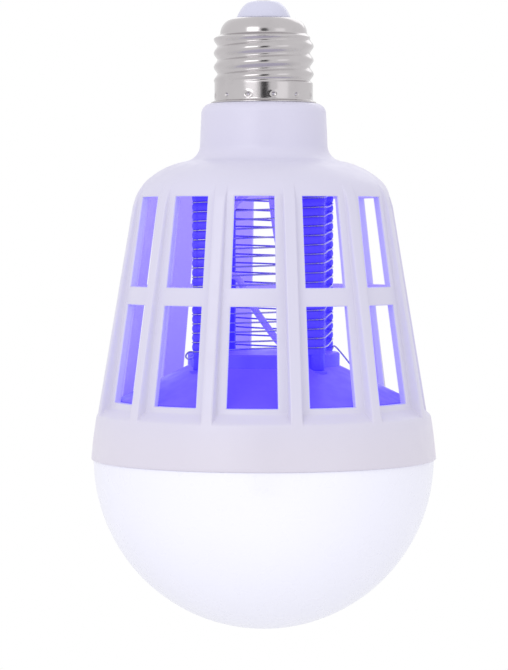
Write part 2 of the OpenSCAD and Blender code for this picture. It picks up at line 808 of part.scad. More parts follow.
module fuse_resistor() {
    x = -(board_cap_half_w - board_margin - fuse_r);
    low_z = collar_z + cap_part_rise + chip_h + 2 * part_gap;
    color([0.36, 0.62, 0.72]) translate([x, board_face + fuse_r, low_z]) cylinder(r = fuse_r, h = fuse_h);
}

module bleed_resistor() {
    x = -(core_w / 2 + 4 * part_gap + bleed_r);
    low_z = board_bottom_z + part_foot_h + 2 * part_gap;
    color([0.80, 0.70, 0.52]) translate([x, board_face + bleed_r, low_z])
        cylinder(r = bleed_r, h = bleed_h);
}

module multiplier_capacitors() {
    size = [stack_cap_w, stack_cap_d, stack_cap_h];
    low_z = board_bottom_z + part_foot_h + part_gap;
    color([0.62, 0.20, 0.14]) for (i = [0:stack_cap_count - 1])
        block(size, [stack_cap_x, board_face + stack_cap_d / 2], low_z + i * (stack_cap_h + part_gap));
}

module multiplier_diodes() {
    low_z = board_bottom_z + part_foot_h;
    places = [
        [diode_r, low_z], [diode_r, low_z + diode_h + 2 * part_gap],
        [-bridge_w, collar_z + cap_part_rise], [bridge_w, collar_z + cap_part_rise]
    ];
    color([0.15, 0.15, 0.16]) for (p = places)
        translate([p[0], -board_face - diode_r, p[1]]) cylinder(r = diode_r, h = diode_h);
}

// Leads, as hand-placed points

board_front_y = -board_face - lead_r - fit_gap;
lamp_lead_y = board_face + lamp_lead_r + 0.05;

module lead(points, r = lead_r, up = [0, 1, 0]) {
    tube(smooth_path(points), r, 8, up);
}

module live_lead() {
    color([0.72, 0.16, 0.14]) lead([
        [0, 0, -contact_pin_h - 0.1], [0, 0, -contact_pin_h - 0.6], [0.3, -0.6, -contact_pin_h - 1.5],
        [1.5, board_front_y - 0.3, board_top_z - 0.8], [3.2, board_front_y, board_top_z - 2.6]
    ]);
}

module neutral_lead() {
    color([0.14, 0.14, 0.15]) lead([
        [-3, board_front_y, board_top_z - 2.4], [-5.5, board_front_y, board_top_z - 4],
        [-8.6, -1.6, board_top_z - 6.4], [-thread_crest_r + 2.0, -1.2, skirt_top_z + 0.1]
    ]);
}

// The lamp leads end against the face of the lamp terminal
terminal_y = -plate_hole_r - 0.3;
terminal_z = plate_bottom_z - terminal_h / 2;

module lamp_lead_positive() {
    color(lead_white) lead([
        [3.1, -lamp_lead_y, board_bottom_z + 1.5], [3.0, -lamp_lead_y, board_bottom_z - 0.3],
        [2.6, -0.9, top_plate_z + 0.2], [2.1, 0.6, top_plate_bottom_z - 1.2],
        [2.5, 1.5, window_top_z - 3], [3.9, 2.5, window_top_z - 12.2], [6.6, 3.6, bar_top_z - 2],
        [8.2, 4.0, bar_bottom_z - 6], [8.6, 4.0, pedestal_top_z], [7.2, 3.4, pedestal_top_z - 6],
        [3.4, 1.6, plate_z + 4], [1.8, 0.2, plate_z - 0.6],
        [terminal_pin_x, terminal_y + 2.4, terminal_z], [terminal_pin_x, terminal_y + 1.1, terminal_z],
        [terminal_pin_x, terminal_y + 0.05, terminal_z]
    ], lamp_lead_r, [1, 0, 0]);
}

module lamp_lead_negative() {
    color(lead_white) lead([
        [-2.6, lamp_lead_y, board_bottom_z + 1.5], [-2.6, lamp_lead_y, board_bottom_z - 0.3],
        [-2.8, 2.3, top_plate_z - 0.6], [-3.2, 2.2, top_plate_bottom_z - 1.6],
        [-7.4, 2.7, window_top_z - 1.6], [-10.2, 3.4, window_top_z - 7], [-10.6, 4.0, window_top_z - 15],
        [-9.4, 4.4, bar_top_z + 3.2], [-6.9, 4.6, bar_top_z + 2], [-5.1, 5.0, bar_top_z - 1.2],
        [-2.7, 5.7, bar_bottom_z - 1.1], [3.2, 6.6, bar_bottom_z - 9.4], [5.7, 6.9, pedestal_top_z + 0.6],
        [6.1, 6.9, pedestal_top_z - 2], [4.6, 6.2, pedestal_top_z - 6.5], [-0.4, 3.4, plate_z + 4.5],
        [-1.8, 0.6, plate_z - 0.6],
        [-terminal_pin_x, terminal_y + 2.4, terminal_z], [-terminal_pin_x, terminal_y + 1.1, terminal_z],
        [-terminal_pin_x, terminal_y + 0.05, terminal_z]
    ], lamp_lead_r, [1, 0, 0]);
}

module lamp_lead_bores() {
    for (place = [[8.6, 4.0], [6.0, 6.9]])
        translate([place[0], place[1], pedestal_top_z - 2 * deck_wall - 1])
            cylinder(r = lamp_lead_r + 0.4, h = 2 * deck_wall + 2);
}

// A high-voltage lead from the board's foot to the upper end of one grid wire
module grid_lead(side) {
    top = turned([side * grid_hole_x, side * grid_hole_y, top_plate_z + 0.4], frame_turn);
    color([0.55, 0.10, 0.12]) lead([
        [side * 9, side * (board_face + lead_r + 0.15), board_bottom_z + 2.2],
        [side * 9, side * (board_face + lead_r + 0.25), board_bottom_z + 0.6],
        [side * 8.8, side * 5, top_plate_z + 1.8],
        [top[0], top[1] * 0.85, top_plate_z + 1.9],
        [top[0], top[1], top_plate_z + 1.3],
        [top[0], top[1], top_plate_z + 0.5]
    ], lead_r, [1, 0, 0]);
}
function turned(p, a) = [p[0] * cos(a) - p[1] * sin(a), p[0] * sin(a) + p[1] * cos(a), p[2]];

// Violet lamps

module top_plate_lead_bore() {
    translate([0, 0, top_plate_bottom_z - 1]) cylinder(r = lead_bore_r, h = top_plate_t + 2);
}

// The ring board, cleared for the screw heads beside it
module violet_lamp_board() {
    color([0.88, 0.88, 0.93]) difference() {
        ring_solid(ring_board_r, uv_hole_r, uv_board_z - uv_board_t, uv_board_z);
        rotate([0, 0, frame_turn]) around(2, boss_ring_r, 90)
            translate([0, 0, uv_board_z - uv_board_t - 1])
                cylinder(r = small_head_r + head_gap, h = uv_board_t + 2);
    }
}

module violet_lamps() {
    color([0.55, 0.35, 1.0]) around(uv_lamp_count, uv_lamp_ring_r, 30)
        block([uv_lamp_l, uv_lamp_w, uv_lamp_h], [0, 0], uv_board_z - uv_board_t - uv_lamp_h);
}

module pan_screw(shank_r, shank_h, head_r, head_h) {
    difference() {
        union() {
            translate([0, 0, -eps]) cylinder(r = shank_r, h = shank_h + eps);
            translate([0, 0, -head_h]) cylinder(r1 = head_r - 0.4, r2 = head_r, h = head_h);
        }
        for (turn = [0, 90])
            rotate([0, 0, turn]) block([head_r * 1.2, 0.5, head_h], [0, 0], -1.6 * head_h);
    }
}

module top_plate_screws() {
    color(steel) rotate([0, 0, frame_turn]) around(2, boss_ring_r, 90)
        translate([0, 0, top_plate_bottom_z])
            pan_screw(small_screw_r, top_plate_t + frame_screw_grip, small_head_r, small_head_h);
}

// Winding frame

frame_corners = [[-1, -1], [1, -1], [1, 1], [-1, 1]];
corner_angles = [180, 270, 0, 90];

// Share of a lap at the middle of each corner, running counterclockwise from the front left
function lap_share(corner) =
    let (sides = [0, 2 * column_x, 2 * column_x + 2 * column_y, 4 * column_x + 2 * column_y])
    (sides[corner] + wire_arc_length * (corner + 0.5)) / wire_lap_length;
function valley_z(corner, i) = wire_start_z + wire_lead * lap_share(corner) + wire_gap * i;

post_low_z = pedestal_top_z + seat_gap;
post_high_z = top_plate_z - 0.2;
post_lip_h = 0.1;

// The edge of a post from its low end up, with a valley for each wire that passes
function lobed_edge(corner, rise) = concat(
    [[column_r, post_low_z]],
    [for (i = [-1:valley_count - 1])
        let (z = valley_z(corner, i) + rise)
        if (z - valley_half_h > post_low_z + post_lip_h && z + lobe_half_h < top_plate_bottom_z)
        each [
            [column_r, max(z - lobe_half_h, post_low_z + post_lip_h / 2)], [valley_r, z - valley_half_h],
            [valley_r, z + valley_half_h], [column_r, z + lobe_half_h]
        ]],
    [[column_r, post_high_z]]
);

module column(corner) {
    rotate_extrude($fn = 48) polygon(concat(
        [[0, foot_z], [foot_r, foot_z], [foot_r, post_low_z]], lobed_edge(corner, 0), [[0, post_high_z]]
    ));
}

// A post's front or back bar, whose lobes follow the wires as they rise along it
module flange(corner) {
    side = frame_corners[corner][0];
    face = frame_corners[corner][1];
    along = corner % 2 == 0 ? 1 : -1;
    rise = along * wire_lead * (wire_arc_length + flange_reach) / 2 / wire_lap_length;
    low_x = side < 0 ? -column_x : column_x - flange_reach;
    translate([low_x, face * column_y, 0]) mirror([0, face < 0 ? 1 : 0, 0])
        rotate([90, 0, 90]) linear_extrude(flange_reach) polygon(concat(
            [[-web_t / 2, post_low_z]], lobed_edge(corner, rise), [[-web_t / 2, post_high_z]]
        ));
}

module posts() {
    for (i = [0:3]) {
        translate([frame_corners[i][0] * column_x, frame_corners[i][1] * column_y, 0]) column(i);
        flange(i);
    }
    for (side = [-1, 1])
        block([web_t, 2 * column_y, post_high_z - post_low_z], [side * column_x, 0], post_low_z);
}

module winding_frame() {
    color(violet_dark) rotate([0, 0, frame_turn]) difference() {
        union() {
            translate([0, 0, top_plate_bottom_z]) cylinder(r = top_plate_r, h = top_plate_t);
            posts();
        }
        top_plate_lead_bore();
        around(2, boss_ring_r, 90)
            translate([0, 0, top_plate_bottom_z - 1]) cylinder(r = small_screw_hole_r, h = top_plate_t + 2);
        for (c = frame_corners)
            translate([c[0] * column_x, c[1] * column_y, foot_z - 1])
                cylinder(r = small_screw_bore_r, h = foot_screw_grip + 2 * bore_spare + 1);
        for (side = [-1, 1])
            translate([side * grid_hole_x, side * grid_hole_y, top_plate_bottom_z - 1])
                cylinder(r = wire_r + 0.35, h = top_plate_t + 2);
    }
}

// Winding

corner_steps = 4;
function wire_corner(turn, corner, step) =
    let (
        c = frame_corners[corner],
        a = corner_angles[corner] + 90 * step / corner_steps,
        share = lap_share(corner) + wire_arc_length * (step / corner_steps - 0.5) / wire_lap_length
    )
    [
        c[0] * column_x + wire_path_r * cos(a), c[1] * column_y + wire_path_r * sin(a),
        wire_start_z + wire_lead * (turn + share)
    ];
function winding_path() = [
    for (stop = [0:4 * wire_turns + 1], step = [0:corner_steps])
        wire_corner(floor(stop / 4), stop % 4, step)
];

// Each wire leaves its last lap along a front or back bar and turns up through the top plate
grid_hole_x = column_x - flange_reach - 2.2;
grid_hole_y = column_y + wire_path_r;
function wire_end() =
    let (leave = wire_corner(wire_turns, 2, corner_steps))
    concat([for (step = [0:corner_steps]) wire_corner(wire_turns, 2, step)], [
        [grid_hole_x + 1.2, grid_hole_y, leave[2] + 0.25],
        [grid_hole_x + 0.3, grid_hole_y, leave[2] + 0.7],
        [grid_hole_x, grid_hole_y, leave[2] + 1.6],
        [grid_hole_x, grid_hole_y, top_plate_z + 0.4]
    ]);

module grid_wire(tail) {
    color(steel) tube(concat(tail, winding_path(), wire_end()), wire_r, 6, [0.3, -0.3, 1]);
}

// Each wire's lower end: one is hooked round its post's foot, the other is laid down onto the deck
module grid_wire_a() {
    hook = [
        [-column_x - 1.4, -column_y - 2.7, foot_z + 3.4],
        [-column_x - 2.9, -column_y - 2.3, foot_z + 3.0],
        [-column_x - 3.7, -column_y - 1.3, foot_z + 3.6],
        [-column_x - 3.1, -column_y - 0.6, foot_z + 4.6]
    ];
    rotate([0, 0, frame_turn]) grid_wire(hook);
}

module grid_wire_b() {
    far = [-column_x - 9.5, -column_y - 1.5];
    laid_down = [
        [far[0], far[1], deck_z_at(norm(far)) + wire_r + 0.06],
        [-column_x - 3.2, -column_y - 0.9, foot_z + 4.7]
    ];
    rotate([0, 0, frame_turn + 180]) grid_wire(laid_down);
}

// Base deck

module column_seats() {
    for (c = frame_corners)
        translate([c[0] * column_x, c[1] * column_y, foot_z])
            cylinder(r = foot_r + 1.2 * fit_gap, h = pedestal_top_z - foot_z + 1);
}

module base_deck() {
    under_z = deck_wall / cos(deck_slope);
    flange_r = deck_bore_r - fit_gap;
    flange_bottom_z = deck_step_z - deck_flange_t;
    color(violet) difference() {
        union() {
            rotate_extrude() polygon([
                [0, pedestal_top_z], [pedestal_r - 0.4, pedestal_top_z], [pedestal_r, pedestal_top_z - 0.4],
                [pedestal_r, deck_z_at(pedestal_r)], [deck_edge_r, deck_edge_z], [deck_edge_r, deck_step_z],
                [flange_r, deck_step_z], [flange_r, flange_bottom_z],
                [deck_edge_r - deck_wall, flange_bottom_z],
                [deck_edge_r - deck_wall, deck_z_at(deck_edge_r - deck_wall) - under_z],
                [pedestal_r - deck_wall, deck_z_at(pedestal_r) - under_z],
                [pedestal_r - deck_wall, pedestal_top_z - deck_wall], [0, pedestal_top_z - deck_wall]
            ]);
            rotate([0, 0, frame_turn]) for (c = frame_corners)
                translate([c[0] * column_x, c[1] * column_y, foot_boss_bottom_z])
                    cylinder(r = foot_boss_r, h = foot_z - foot_boss_bottom_z - 0.1);
            around(plate_screw_count, screw_ring_r, 30)
                translate([0, 0, plate_z])
                    cylinder(r = plate_boss_r, h = deck_z_at(screw_ring_r + plate_boss_r) - plate_z);
        }
        rotate([0, 0, frame_turn]) {
            column_seats();
            for (c = frame_corners)
                translate([c[0] * column_x, c[1] * column_y, foot_boss_bottom_z - 1])
                    cylinder(r = small_screw_hole_r, h = foot_boss_h + 2);
        }
        around(plate_screw_count, screw_ring_r, 30)
            translate([0, 0, plate_z - 1])
                cylinder(r = screw_r + press_gap, h = plate_screw_grip + bore_spare + 1);
        lamp_lead_bores();
    }
}

module frame_screws() {
    color(steel) rotate([0, 0, frame_turn]) for (c = frame_corners)
        translate([c[0] * column_x, c[1] * column_y, foot_boss_bottom_z])
            pan_screw(small_screw_r, foot_boss_h + foot_screw_grip, small_head_r, small_head_h);
}

// Lamp plate

module lamp_plate() {
    color([0.90, 0.90, 0.90]) difference() {
        translate([0, 0, plate_bottom_z]) cylinder(r = plate_r, h = plate_t);
        translate([0, 0, plate_bottom_z - 1]) cylinder(r = plate_hole_r, h = plate_t + 2);
        around(plate_screw_count, screw_ring_r, 30)
            translate([0, 0, plate_bottom_z - 1]) cylinder(r = screw_r + 0.3, h = plate_t + 2);
    }
}

module white_lamps() {
    lamp = [white_lamp_w, white_lamp_l, white_lamp_h];
    low_z = plate_bottom_z - white_lamp_h;
    color([0.98, 0.93, 0.62]) {
        around(lamp_count, lamp_ring_r, 7) block(lamp, [0, 0], low_z);
        around(lamp_count / 2, lamp_ring_r / 2, 22) block(lamp, [0, 0], low_z);
    }
}

module lamp_terminal() {
    low_z = plate_bottom_z - terminal_h;
    color([0.93, 0.93, 0.90]) difference() {
        block([terminal_w, terminal_d, terminal_h], [0, terminal_y - terminal_d / 2], low_z);
        for (side = [-1, 1])
            translate([side * terminal_pin_x, terminal_y - terminal_d / 2, low_z - 1])
                cylinder(r = terminal_pin_x - 0.8, h = 2.2);
    }
}

module plate_screws() {
    color(steel) around(plate_screw_count, screw_ring_r, 30)
        translate([0, 0, plate_bottom_z])
            pan_screw(screw_r, plate_t + plate_screw_grip, plate_screw_head_r, plate_screw_head_h);
}

// Dome

// The lower half of a ball whose flat face lies a given drop below its centre
module half_ball(r, centre_z, drop) {
    difference() {
        translate([0, 0, centre_z]) sphere(r = r);
        translate([0, 0, centre_z - drop]) cylinder(r = r + 1, h = r + drop + 1);
    }
}

module opal_dome() {
    collar_r = collar_bore_r - fit_gap;
    lug_z = band_bottom_z + dome_snap_z;
    color([0.97, 0.97, 1.0]) {
        difference() {
            union() {
                half_ball(dome_r, band_bottom_z, 0);
                translate([0, 0, band_bottom_z - eps]) cylinder(r = collar_r, h = dome_collar_h + eps);
            }
            half_ball(dome_r - dome_wall, band_bottom_z, dome_ledge_t);
            translate([0, 0, band_bottom_z - dome_ledge_t - 1])
                cylinder(r = collar_r - dome_wall, h = dome_collar_h + dome_ledge_t + 2);
        }
        intersection() {
            ring_solid(collar_r + dome_snap_depth, collar_r - dome_wall / 2, lug_z, lug_z + dome_snap_h);
            around(4, collar_r, 45) block([6, 8, 6], [0, 0], lug_z - 1);
        }
    }
}

centre_contact();
cap_insulator();
screw_shell();
cage_housing();
driver_board();
input_capacitor();
output_capacitor();
transformer();
bridge_rectifier();
driver_chip();
fuse_resistor();
bleed_resistor();
multiplier_capacitors();
multiplier_diodes();
live_lead();
neutral_lead();
grid_lead(1);  // grid_lead_a
grid_lead(-1);  // grid_lead_b
lamp_lead_positive();
lamp_lead_negative();
violet_lamp_board();
violet_lamps();
top_plate_screws();
winding_frame();
grid_wire_a();
grid_wire_b();
base_deck();
frame_screws();
lamp_plate();
white_lamps();
lamp_terminal();
plate_screws();
opal_dome();
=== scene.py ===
"""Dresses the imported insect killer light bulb: fine surfaces, finishes, studio and camera.

Shapes are worked out in millimetres in the part's own frame: +Z up into the lampholder, the contact's
face at zero, and -Y the front. They become metres when a piece is made.
"""

import logging
import math
from dataclasses import dataclass, field
from enum import Enum

import bmesh
import bpy
import numpy as np
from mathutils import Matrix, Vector


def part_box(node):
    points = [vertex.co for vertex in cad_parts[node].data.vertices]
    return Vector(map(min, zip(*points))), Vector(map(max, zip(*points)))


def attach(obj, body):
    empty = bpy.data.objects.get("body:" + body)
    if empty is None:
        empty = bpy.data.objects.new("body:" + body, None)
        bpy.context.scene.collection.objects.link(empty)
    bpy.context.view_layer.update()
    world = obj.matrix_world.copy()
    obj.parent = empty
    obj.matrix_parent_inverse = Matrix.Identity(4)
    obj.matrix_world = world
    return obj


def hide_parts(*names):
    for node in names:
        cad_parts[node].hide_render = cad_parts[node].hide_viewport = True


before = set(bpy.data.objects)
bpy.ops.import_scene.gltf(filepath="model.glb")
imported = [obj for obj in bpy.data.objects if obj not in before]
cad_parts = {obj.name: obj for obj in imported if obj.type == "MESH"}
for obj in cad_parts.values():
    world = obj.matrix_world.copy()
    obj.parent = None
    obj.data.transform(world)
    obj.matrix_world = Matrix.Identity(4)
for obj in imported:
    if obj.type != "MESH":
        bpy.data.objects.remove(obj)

log = logging.getLogger("light_bulb")

Array = np.ndarray
Colour = tuple[float, float, float]
Socket = bpy.types.NodeSocket
Amount = Socket | float
Triple = Socket | Colour

MM = 0.001
BODY = "root"


def srgb(red: float, green: float, blue: float) -> Colour:
    """Turns a display colour of 0 to 255 into the linear colour that a shader takes.

    Args:
        red, green, blue: the colour as it is seen on a screen.

    Returns:
        The linear colour, each part (c / 255) raised to about 2.2 by the sRGB curve.
    """
    parts = np.array([red, green, blue]) / 255
    linear = np.where(parts <= 0.04045, parts / 12.92, ((parts + 0.055) / 1.055) ** 2.4)
    return tuple(float(v) for v in linear)


# Shapes


@dataclass
class Surface:
    """A mesh in millimetres.

    Attributes:
        points: an array of N by 3 places.
        quads: an array of M by 4 point numbers.
        caps: flat end faces, each a list of point numbers.
    """

    points: Array
    quads: Array
    caps: list[list[int]] = field(default_factory=list)

    def turned(self, degrees: float) -> "Surface":
        """Returns the surface turned about the lamp's axis."""
        a = math.radians(degrees)
        turn = np.array([[math.cos(a), math.sin(a), 0], [-math.sin(a), math.cos(a), 0], [0, 0, 1]])
        return Surface(self.points @ turn, self.quads, self.caps)

    def moved(self, x: float, y: float, z: float) -> "Surface":
        """Returns the surface moved by an offset."""
        return Surface(self.points + np.array([x, y, z]), self.quads, self.caps)


def joined(surfaces: list[Surface]) -> Surface:
    """Returns several surfaces as one, each keeping its own points."""
    starts = np.cumsum([0] + [len(s.points) for s in surfaces])
    quads = [s.quads + start for s, start in zip(surfaces, starts)]
    caps = [[n + int(start) for n in cap] for s, start in zip(surfaces, starts) for cap in s.caps]
    return Surface(np.concatenate([s.points for s in surfaces]), np.concatenate(quads), caps)


def grid_quads(rows: int, columns: int, wrap_rows: bool = False, wrap_columns: bool = False) -> Array:
    """Numbers the quads of a grid of points that are stored row by row.

    Args:
        rows, columns: the grid's size in points.
        wrap_rows: whether the last row joins the first.
        wrap_columns: whether the last column joins the first.

    Returns:
        An array of rows by columns by 4 point numbers, one quad for each cell.
    """
    i = np.arange(rows if wrap_rows else rows - 1)[:, None]
    j = np.arange(columns if wrap_columns else columns - 1)[None, :]
    i2, j2 = (i + 1) % rows, (j + 1) % columns
    corners = np.broadcast_arrays(i * columns + j, i * columns + j2, i2 * columns + j2, i2 * columns + j)
    return np.stack(corners, axis=-1)


def arc(centre: Array, radius: float, start: float, stop: float, steps: int) -> Array:
    """Points on an arc of a profile: centre + radius * (sin a, cos a), with a in degrees below level."""
    a = np.radians(np.linspace(start, stop, steps + 1))
    return np.asarray(centre) + radius * np.stack([np.sin(a), np.cos(a)], axis=1)


def on_arc(centre: Array, radius: float, angle: float) -> Array:
    """Returns the point of an arc at one angle."""
    return arc(centre, radius, angle, angle, 0)[0]


def rounded(corners: list, radii: list, steps: int = 4) -> Array:
    """Rounds the corners of an open profile.

    Each corner C becomes the curve (1-t)^2 A + 2t(1-t) C + t^2 B, where A and B lie on its two sides, as
    far from C as its radius or half the side allows.

    Args:
        corners: the profile's points.
        radii: one rounding length for each point; the two ends are kept sharp.
        steps: how many pieces each rounding has.

    Returns:
        The rounded profile's points.
    """
    c = np.asarray(corners, float)
    before, after = c[:-2] - c[1:-1], c[2:] - c[1:-1]
    reach_a = np.linalg.norm(before, axis=1, keepdims=True)
    reach_b = np.linalg.norm(after, axis=1, keepdims=True)
    r = np.asarray(radii, float)[1:-1, None]
    a = c[1:-1] + before / reach_a * np.minimum(r, reach_a / 2.01)
    b = c[1:-1] + after / reach_b * np.minimum(r, reach_b / 2.01)
    t = np.linspace(0, 1, steps + 1)[None, :, None]
    curves = (1 - t) ** 2 * a[:, None] + 2 * t * (1 - t) * c[1:-1, None] + t**2 * b[:, None]
    return np.concatenate([c[:1], curves.reshape(-1, 2), c[-1:]])


def revolve(profile: Array, sides: int, closed: bool = False) -> Surface:
    """Turns a profile of (radius, height) about the axis: (r sin a, -r cos a, z) for each angle a.

    Args:
        profile: the profile's points.
        sides: how many steps go round.
        closed: whether the profile's last point joins its first.

    Returns:
        The surface. A profile that starts or ends on the axis gets its poles merged by `Piece`.
    """
    a = np.linspace(0, 2 * math.pi, sides, endpoint=False)[None, :]
    r, z = profile[:, :1], profile[:, 1:]
    points = np.stack([r * np.sin(a), -r * np.cos(a), z + 0 * a], axis=-1).reshape(-1, 3)
    return Surface(points, grid_quads(len(profile), sides, closed, True).reshape(-1, 4))


def sweep(path: Array, radius: Array | float, sides: int, up: tuple[float, float, float]) -> Surface:
    """Carries a circle along a path: p + r (cos a * side + sin a * top), square to the path at each point.

    Args:
        path: an array of N by 3 places.
        radius: the circle's radius, or one for each place.
        sides: how many points the circle has.
        up: a direction that the path never points along.

    Returns:
        The closed tube.
    """
    along = np.gradient(path, axis=0)
    along /= np.linalg.norm(along, axis=1, keepdims=True)
    side = np.cross(np.array(up), along)
    side /= np.linalg.norm(side, axis=1, keepdims=True)
    top = np.cross(along, side)
    a = np.linspace(0, 2 * math.pi, sides, endpoint=False)[None, :, None]
    r = np.broadcast_to(np.asarray(radius, float), (len(path),))[:, None, None]
    points = path[:, None] + r * (np.cos(a) * side[:, None] + np.sin(a) * top[:, None])
    last = (len(path) - 1) * sides
    caps = [list(range(sides))[::-1], list(range(last, last + sides))]
    return Surface(points.reshape(-1, 3), grid_quads(len(path), sides, False, True).reshape(-1, 4), caps)


def smooth_path(places: list, steps: int) -> Array:
    """Carries a smooth curve through given points, each with half the step between its neighbours."""
    p = np.asarray(places, float)
    a, b, c, d = p[np.r_[0, 0 : len(p) - 2]], p[:-1], p[1:], p[np.r_[2 : len(p), len(p) - 1]]
    t = np.linspace(0, 1, steps, endpoint=False)[None, :, None]
    a, b, c, d = (v[:, None] for v in (a, b, c, d))
    curve = 2 * b + (c - a) * t + (2 * a - 5 * b + 4 * c - d) * t**2 + (3 * b - 3 * c + d - a) * t**3
    return np.concatenate([0.5 * curve.reshape(-1, 3), p[-1:]])


# Node trees


class Tree:
    """A node tree under construction, with short ways to add nodes and join them."""

    def __init__(self, tree: bpy.types.NodeTree) -> None:
        """Takes the tree to fill."""
        self.tree = tree

    def add(self, kind: str, inputs: dict | None = None, **settings: object) -> bpy.types.Node:
        """Adds a node.

        Args:
            kind: the node's type name without the ShaderNode prefix, or in full.
            inputs: for each socket's name or number, a value to set or a socket to join.
            settings: the node's own properties.

        Returns:
            The new node.
        """
        full = kind if kind.startswith("Node") else f"ShaderNode{kind}"
        node = self.tree.nodes.new(full)
        for name, value in settings.items():
            setattr(node, name, value)
        for name, value in (inputs or {}).items():
            if isinstance(value, Socket):
                self.tree.links.new(value, node.inputs[name])
            else:
                node.inputs[name].default_value = value
        return node

    def math(self, operation: str, a: Amount, b: Amount = 0.0, c: Amount = 0.0,
             clamp: bool = False) -> Socket:
        """Adds a Math node and returns its result."""
        node = self.add("Math", {0: a, 1: b, 2: c}, operation=operation, use_clamp=clamp)
        return node.outputs[0]

    def vector(self, operation: str, a: Triple, b: Triple = (0.0, 0.0, 0.0)) -> Socket:
        """Adds a Vector Math node and returns its result, a number for a dot product or a length."""
        node = self.add("VectorMath", {0: a, 1: b}, operation=operation)
        return node.outputs["Value" if operation in ("DOT_PRODUCT", "LENGTH") else "Vector"]

    def ramp(self, value: Amount, low: float, high: float, to_low: float = 0.0,
             to_high: float = 1.0) -> Socket:
        """Maps low..high smoothly to to_low..to_high, clamped, and returns the result."""
        sockets = {"Value": value, "From Min": low, "From Max": high, "To Min": to_low, "To Max": to_high}
        return self.add("MapRange", sockets, interpolation_type="SMOOTHSTEP").outputs["Result"]

    def blend(self, factor: Amount, a: Triple, b: Triple, mode: str = "MIX") -> Socket:
        """Mixes two colours and returns the result."""
        a, b = ((*v, 1.0) if isinstance(v, tuple) else v for v in (a, b))
        return self.add("Mix", {0: factor, 6: a, 7: b}, data_type="RGBA", blend_type=mode).outputs[2]

    def tinted(self, colour: Triple, amount: Amount) -> Socket:
        """Multiplies a colour by an amount and returns the result."""
        return self.blend(1.0, colour, amount, "MULTIPLY")

    def uneven(self, scale: float, low: float, high: float) -> Socket:
        """Returns a value that wanders smoothly between low and high."""
        return self.ramp(self.noise(scale), 0.3, 0.7, low, high)

    def noise(self, scale: Amount, detail: float = 2.0, place: Socket | None = None) -> Socket:
        """Adds a noise texture on Object coordinates, or on a given place, and returns its value."""
        spot = place or self.place()
        return self.add("TexNoise", {"Vector": spot, "Scale": scale, "Detail": detail}).outputs["Fac"]

    def place(self) -> Socket:
        """Returns the Object coordinates, in metres."""
        return self.add("TexCoord").outputs["Object"]

    def height(self) -> Socket:
        """Returns the height in metres."""
        return self.add("SeparateXYZ", {0: self.place()}).outputs["Z"]

    def group(self, group: bpy.types.NodeTree, **inputs: Amount) -> bpy.types.Node:
        """Places a node group and sets or joins its inputs by name."""
        return self.add("Group", inputs, node_tree=group)


def new_group(name: str, inputs: dict[str, float],
              outputs: list[str]) -> tuple[Tree, dict[str, Socket], bpy.types.Node]:
    """Starts a node group.

    Args:
        name: the group's name.
        inputs: each input's name and default value.
        outputs: the outputs' names.

    Returns:
        The tree, the inputs' sockets by name, and the node that takes the outputs.
    """
    tree = bpy.data.node_groups.new(name, "ShaderNodeTree")
    for label, value in inputs.items():
        socket = tree.interface.new_socket(label, in_out="INPUT", socket_type="NodeSocketFloat")
        socket.default_value = value
    for label in outputs:
        tree.interface.new_socket(label, in_out="OUTPUT", socket_type="NodeSocketFloat")
    work = Tree(tree)
    source, sink = work.add("NodeGroupInput"), work.add("NodeGroupOutput")
    return work, {label: source.outputs[label] for label in inputs}, sink


